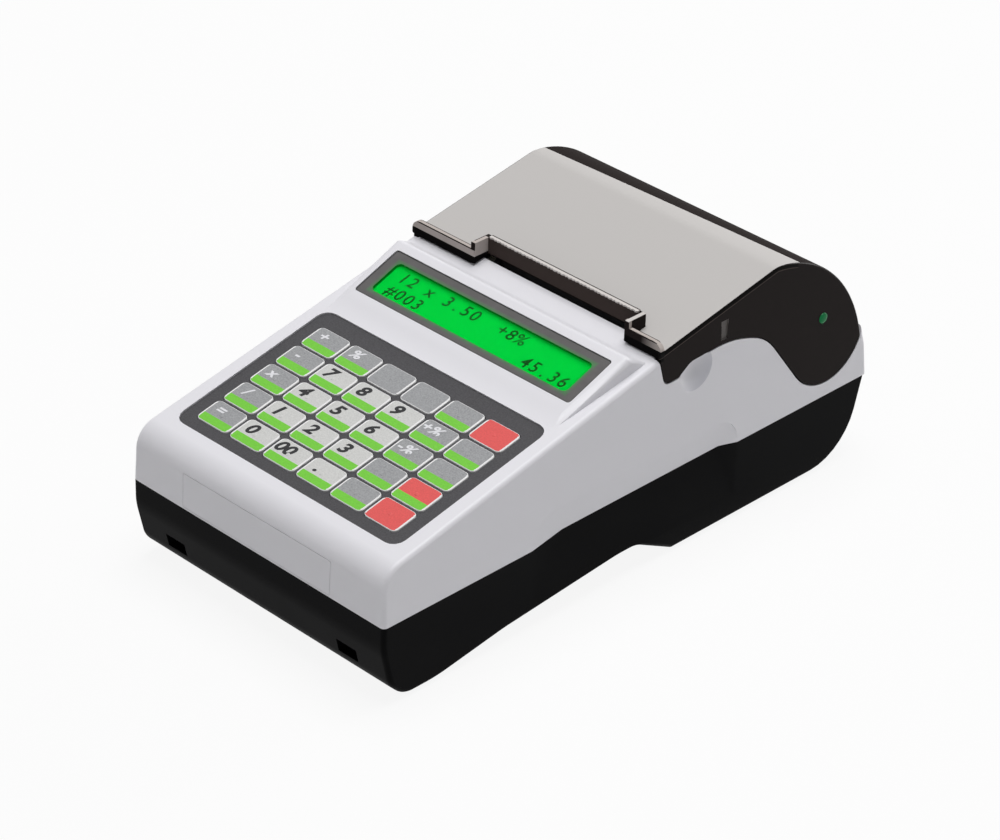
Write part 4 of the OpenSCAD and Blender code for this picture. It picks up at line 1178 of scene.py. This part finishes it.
def make_light():
    low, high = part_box("status_led")
    radius = (high.y - low.y) / 2
    bpy.ops.mesh.primitive_cylinder_add(
        vertices=32, radius=radius, depth=high.x - low.x, end_fill_type="NGON",
        location=(low + high) / 2, rotation=(0, math.radians(90), 0))
    lens = bpy.context.active_object
    lens.name = "status_lens"
    rest_at_origin(lens)
    bpy.ops.object.mode_set(mode="EDIT")
    select_where(lens, lambda f: f.normal.x > 0.99)
    for inward, outward in DOME_STEPS:
        bpy.ops.mesh.inset(thickness=inward * MM, depth=outward * MM)
    bpy.ops.object.mode_set(mode="OBJECT")
    bpy.ops.object.shade_smooth_by_angle(angle=DOME_SMOOTH)
    coat(lens, LED_GREEN)
    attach(lens, "cover")
    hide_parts("status_led")


make_light()
print("status light lit")

# %% [markdown]
# ## Floor and light
#
# The register stands on a white sweep. To the camera, and in what is glossy or
# clear, the floor glows almost white, so that it meets the background without an
# edge, and part of it stays a plain matt surface that takes the soft shadow. All
# other rays see only the plain surface, so that the glow puts no light on the
# object.

# %% Stage
FLOOR_SHADE = 0.78
GLOW_SHARE = 0.9
WORLD_FILL = 0.24
LIGHT_TARGET = Vector((0, 0, 0.04))


def seen_directly(tree):
    """1 for what the camera sees, also in gloss and through what is clear."""
    path = node(tree, "ShaderNodeLightPath")
    seen = math_node(tree, "MAXIMUM", path.outputs["Is Camera Ray"], path.outputs["Is Glossy Ray"])
    return math_node(tree, "MAXIMUM", seen, path.outputs["Is Transmission Ray"])


def make_floor():
    bpy.ops.mesh.primitive_plane_add(size=8.0, location=(0, 0, 0))
    floor = bpy.context.active_object
    floor.name = "floor"
    material = bpy.data.materials.new("floor")
    material.use_nodes = True
    tree = material.node_tree
    tree.nodes.clear()
    out = node(tree, "ShaderNodeOutputMaterial")
    plain = node(tree, "ShaderNodeBsdfDiffuse")
    plain.inputs["Color"].default_value = (FLOOR_SHADE, FLOOR_SHADE, FLOOR_SHADE, 1.0)
    glow = node(tree, "ShaderNodeEmission")
    glow.inputs["Strength"].default_value = 1.0
    mix = node(tree, "ShaderNodeMixShader")
    share = math_node(tree, "MULTIPLY", seen_directly(tree), GLOW_SHARE)
    join(tree, share, mix.inputs["Fac"])
    join(tree, plain.outputs["BSDF"], mix.inputs[1])
    join(tree, glow.outputs["Emission"], mix.inputs[2])
    join(tree, mix.outputs["Shader"], out.inputs["Surface"])
    floor.data.materials.append(material)


def make_world():
    world = bpy.data.worlds.new("studio")
    bpy.context.scene.world = world
    world.use_nodes = True
    tree = world.node_tree
    sky = tree.nodes["Background"]
    sky.inputs["Color"].default_value = (1.0, 1.0, 1.0, 1.0)
    scaled = math_node(tree, "MULTIPLY", seen_directly(tree), 1.0 - WORLD_FILL)
    join(tree, math_node(tree, "ADD", scaled, WORLD_FILL), sky.inputs["Strength"])


def add_softbox(name, place, size, power):
    data = bpy.data.lights.new(name, "AREA")
    data.shape = "SQUARE"
    data.size = size
    data.energy = power
    lamp = add_object(name, data)
    lamp.location = place
    lamp.rotation_mode = "QUATERNION"
    lamp.rotation_quaternion = (Vector(place) - LIGHT_TARGET).to_track_quat("Z", "Y")


make_floor()
make_world()
add_softbox("key_light", place=(-0.02, 0.15, 1.8), size=1.1, power=24.5)
add_softbox("rim_light", place=(0.1, 2.0, 0.6), size=0.8, power=13.0)
bpy.context.scene.view_settings.view_transform = "Standard"
print("stage ready")
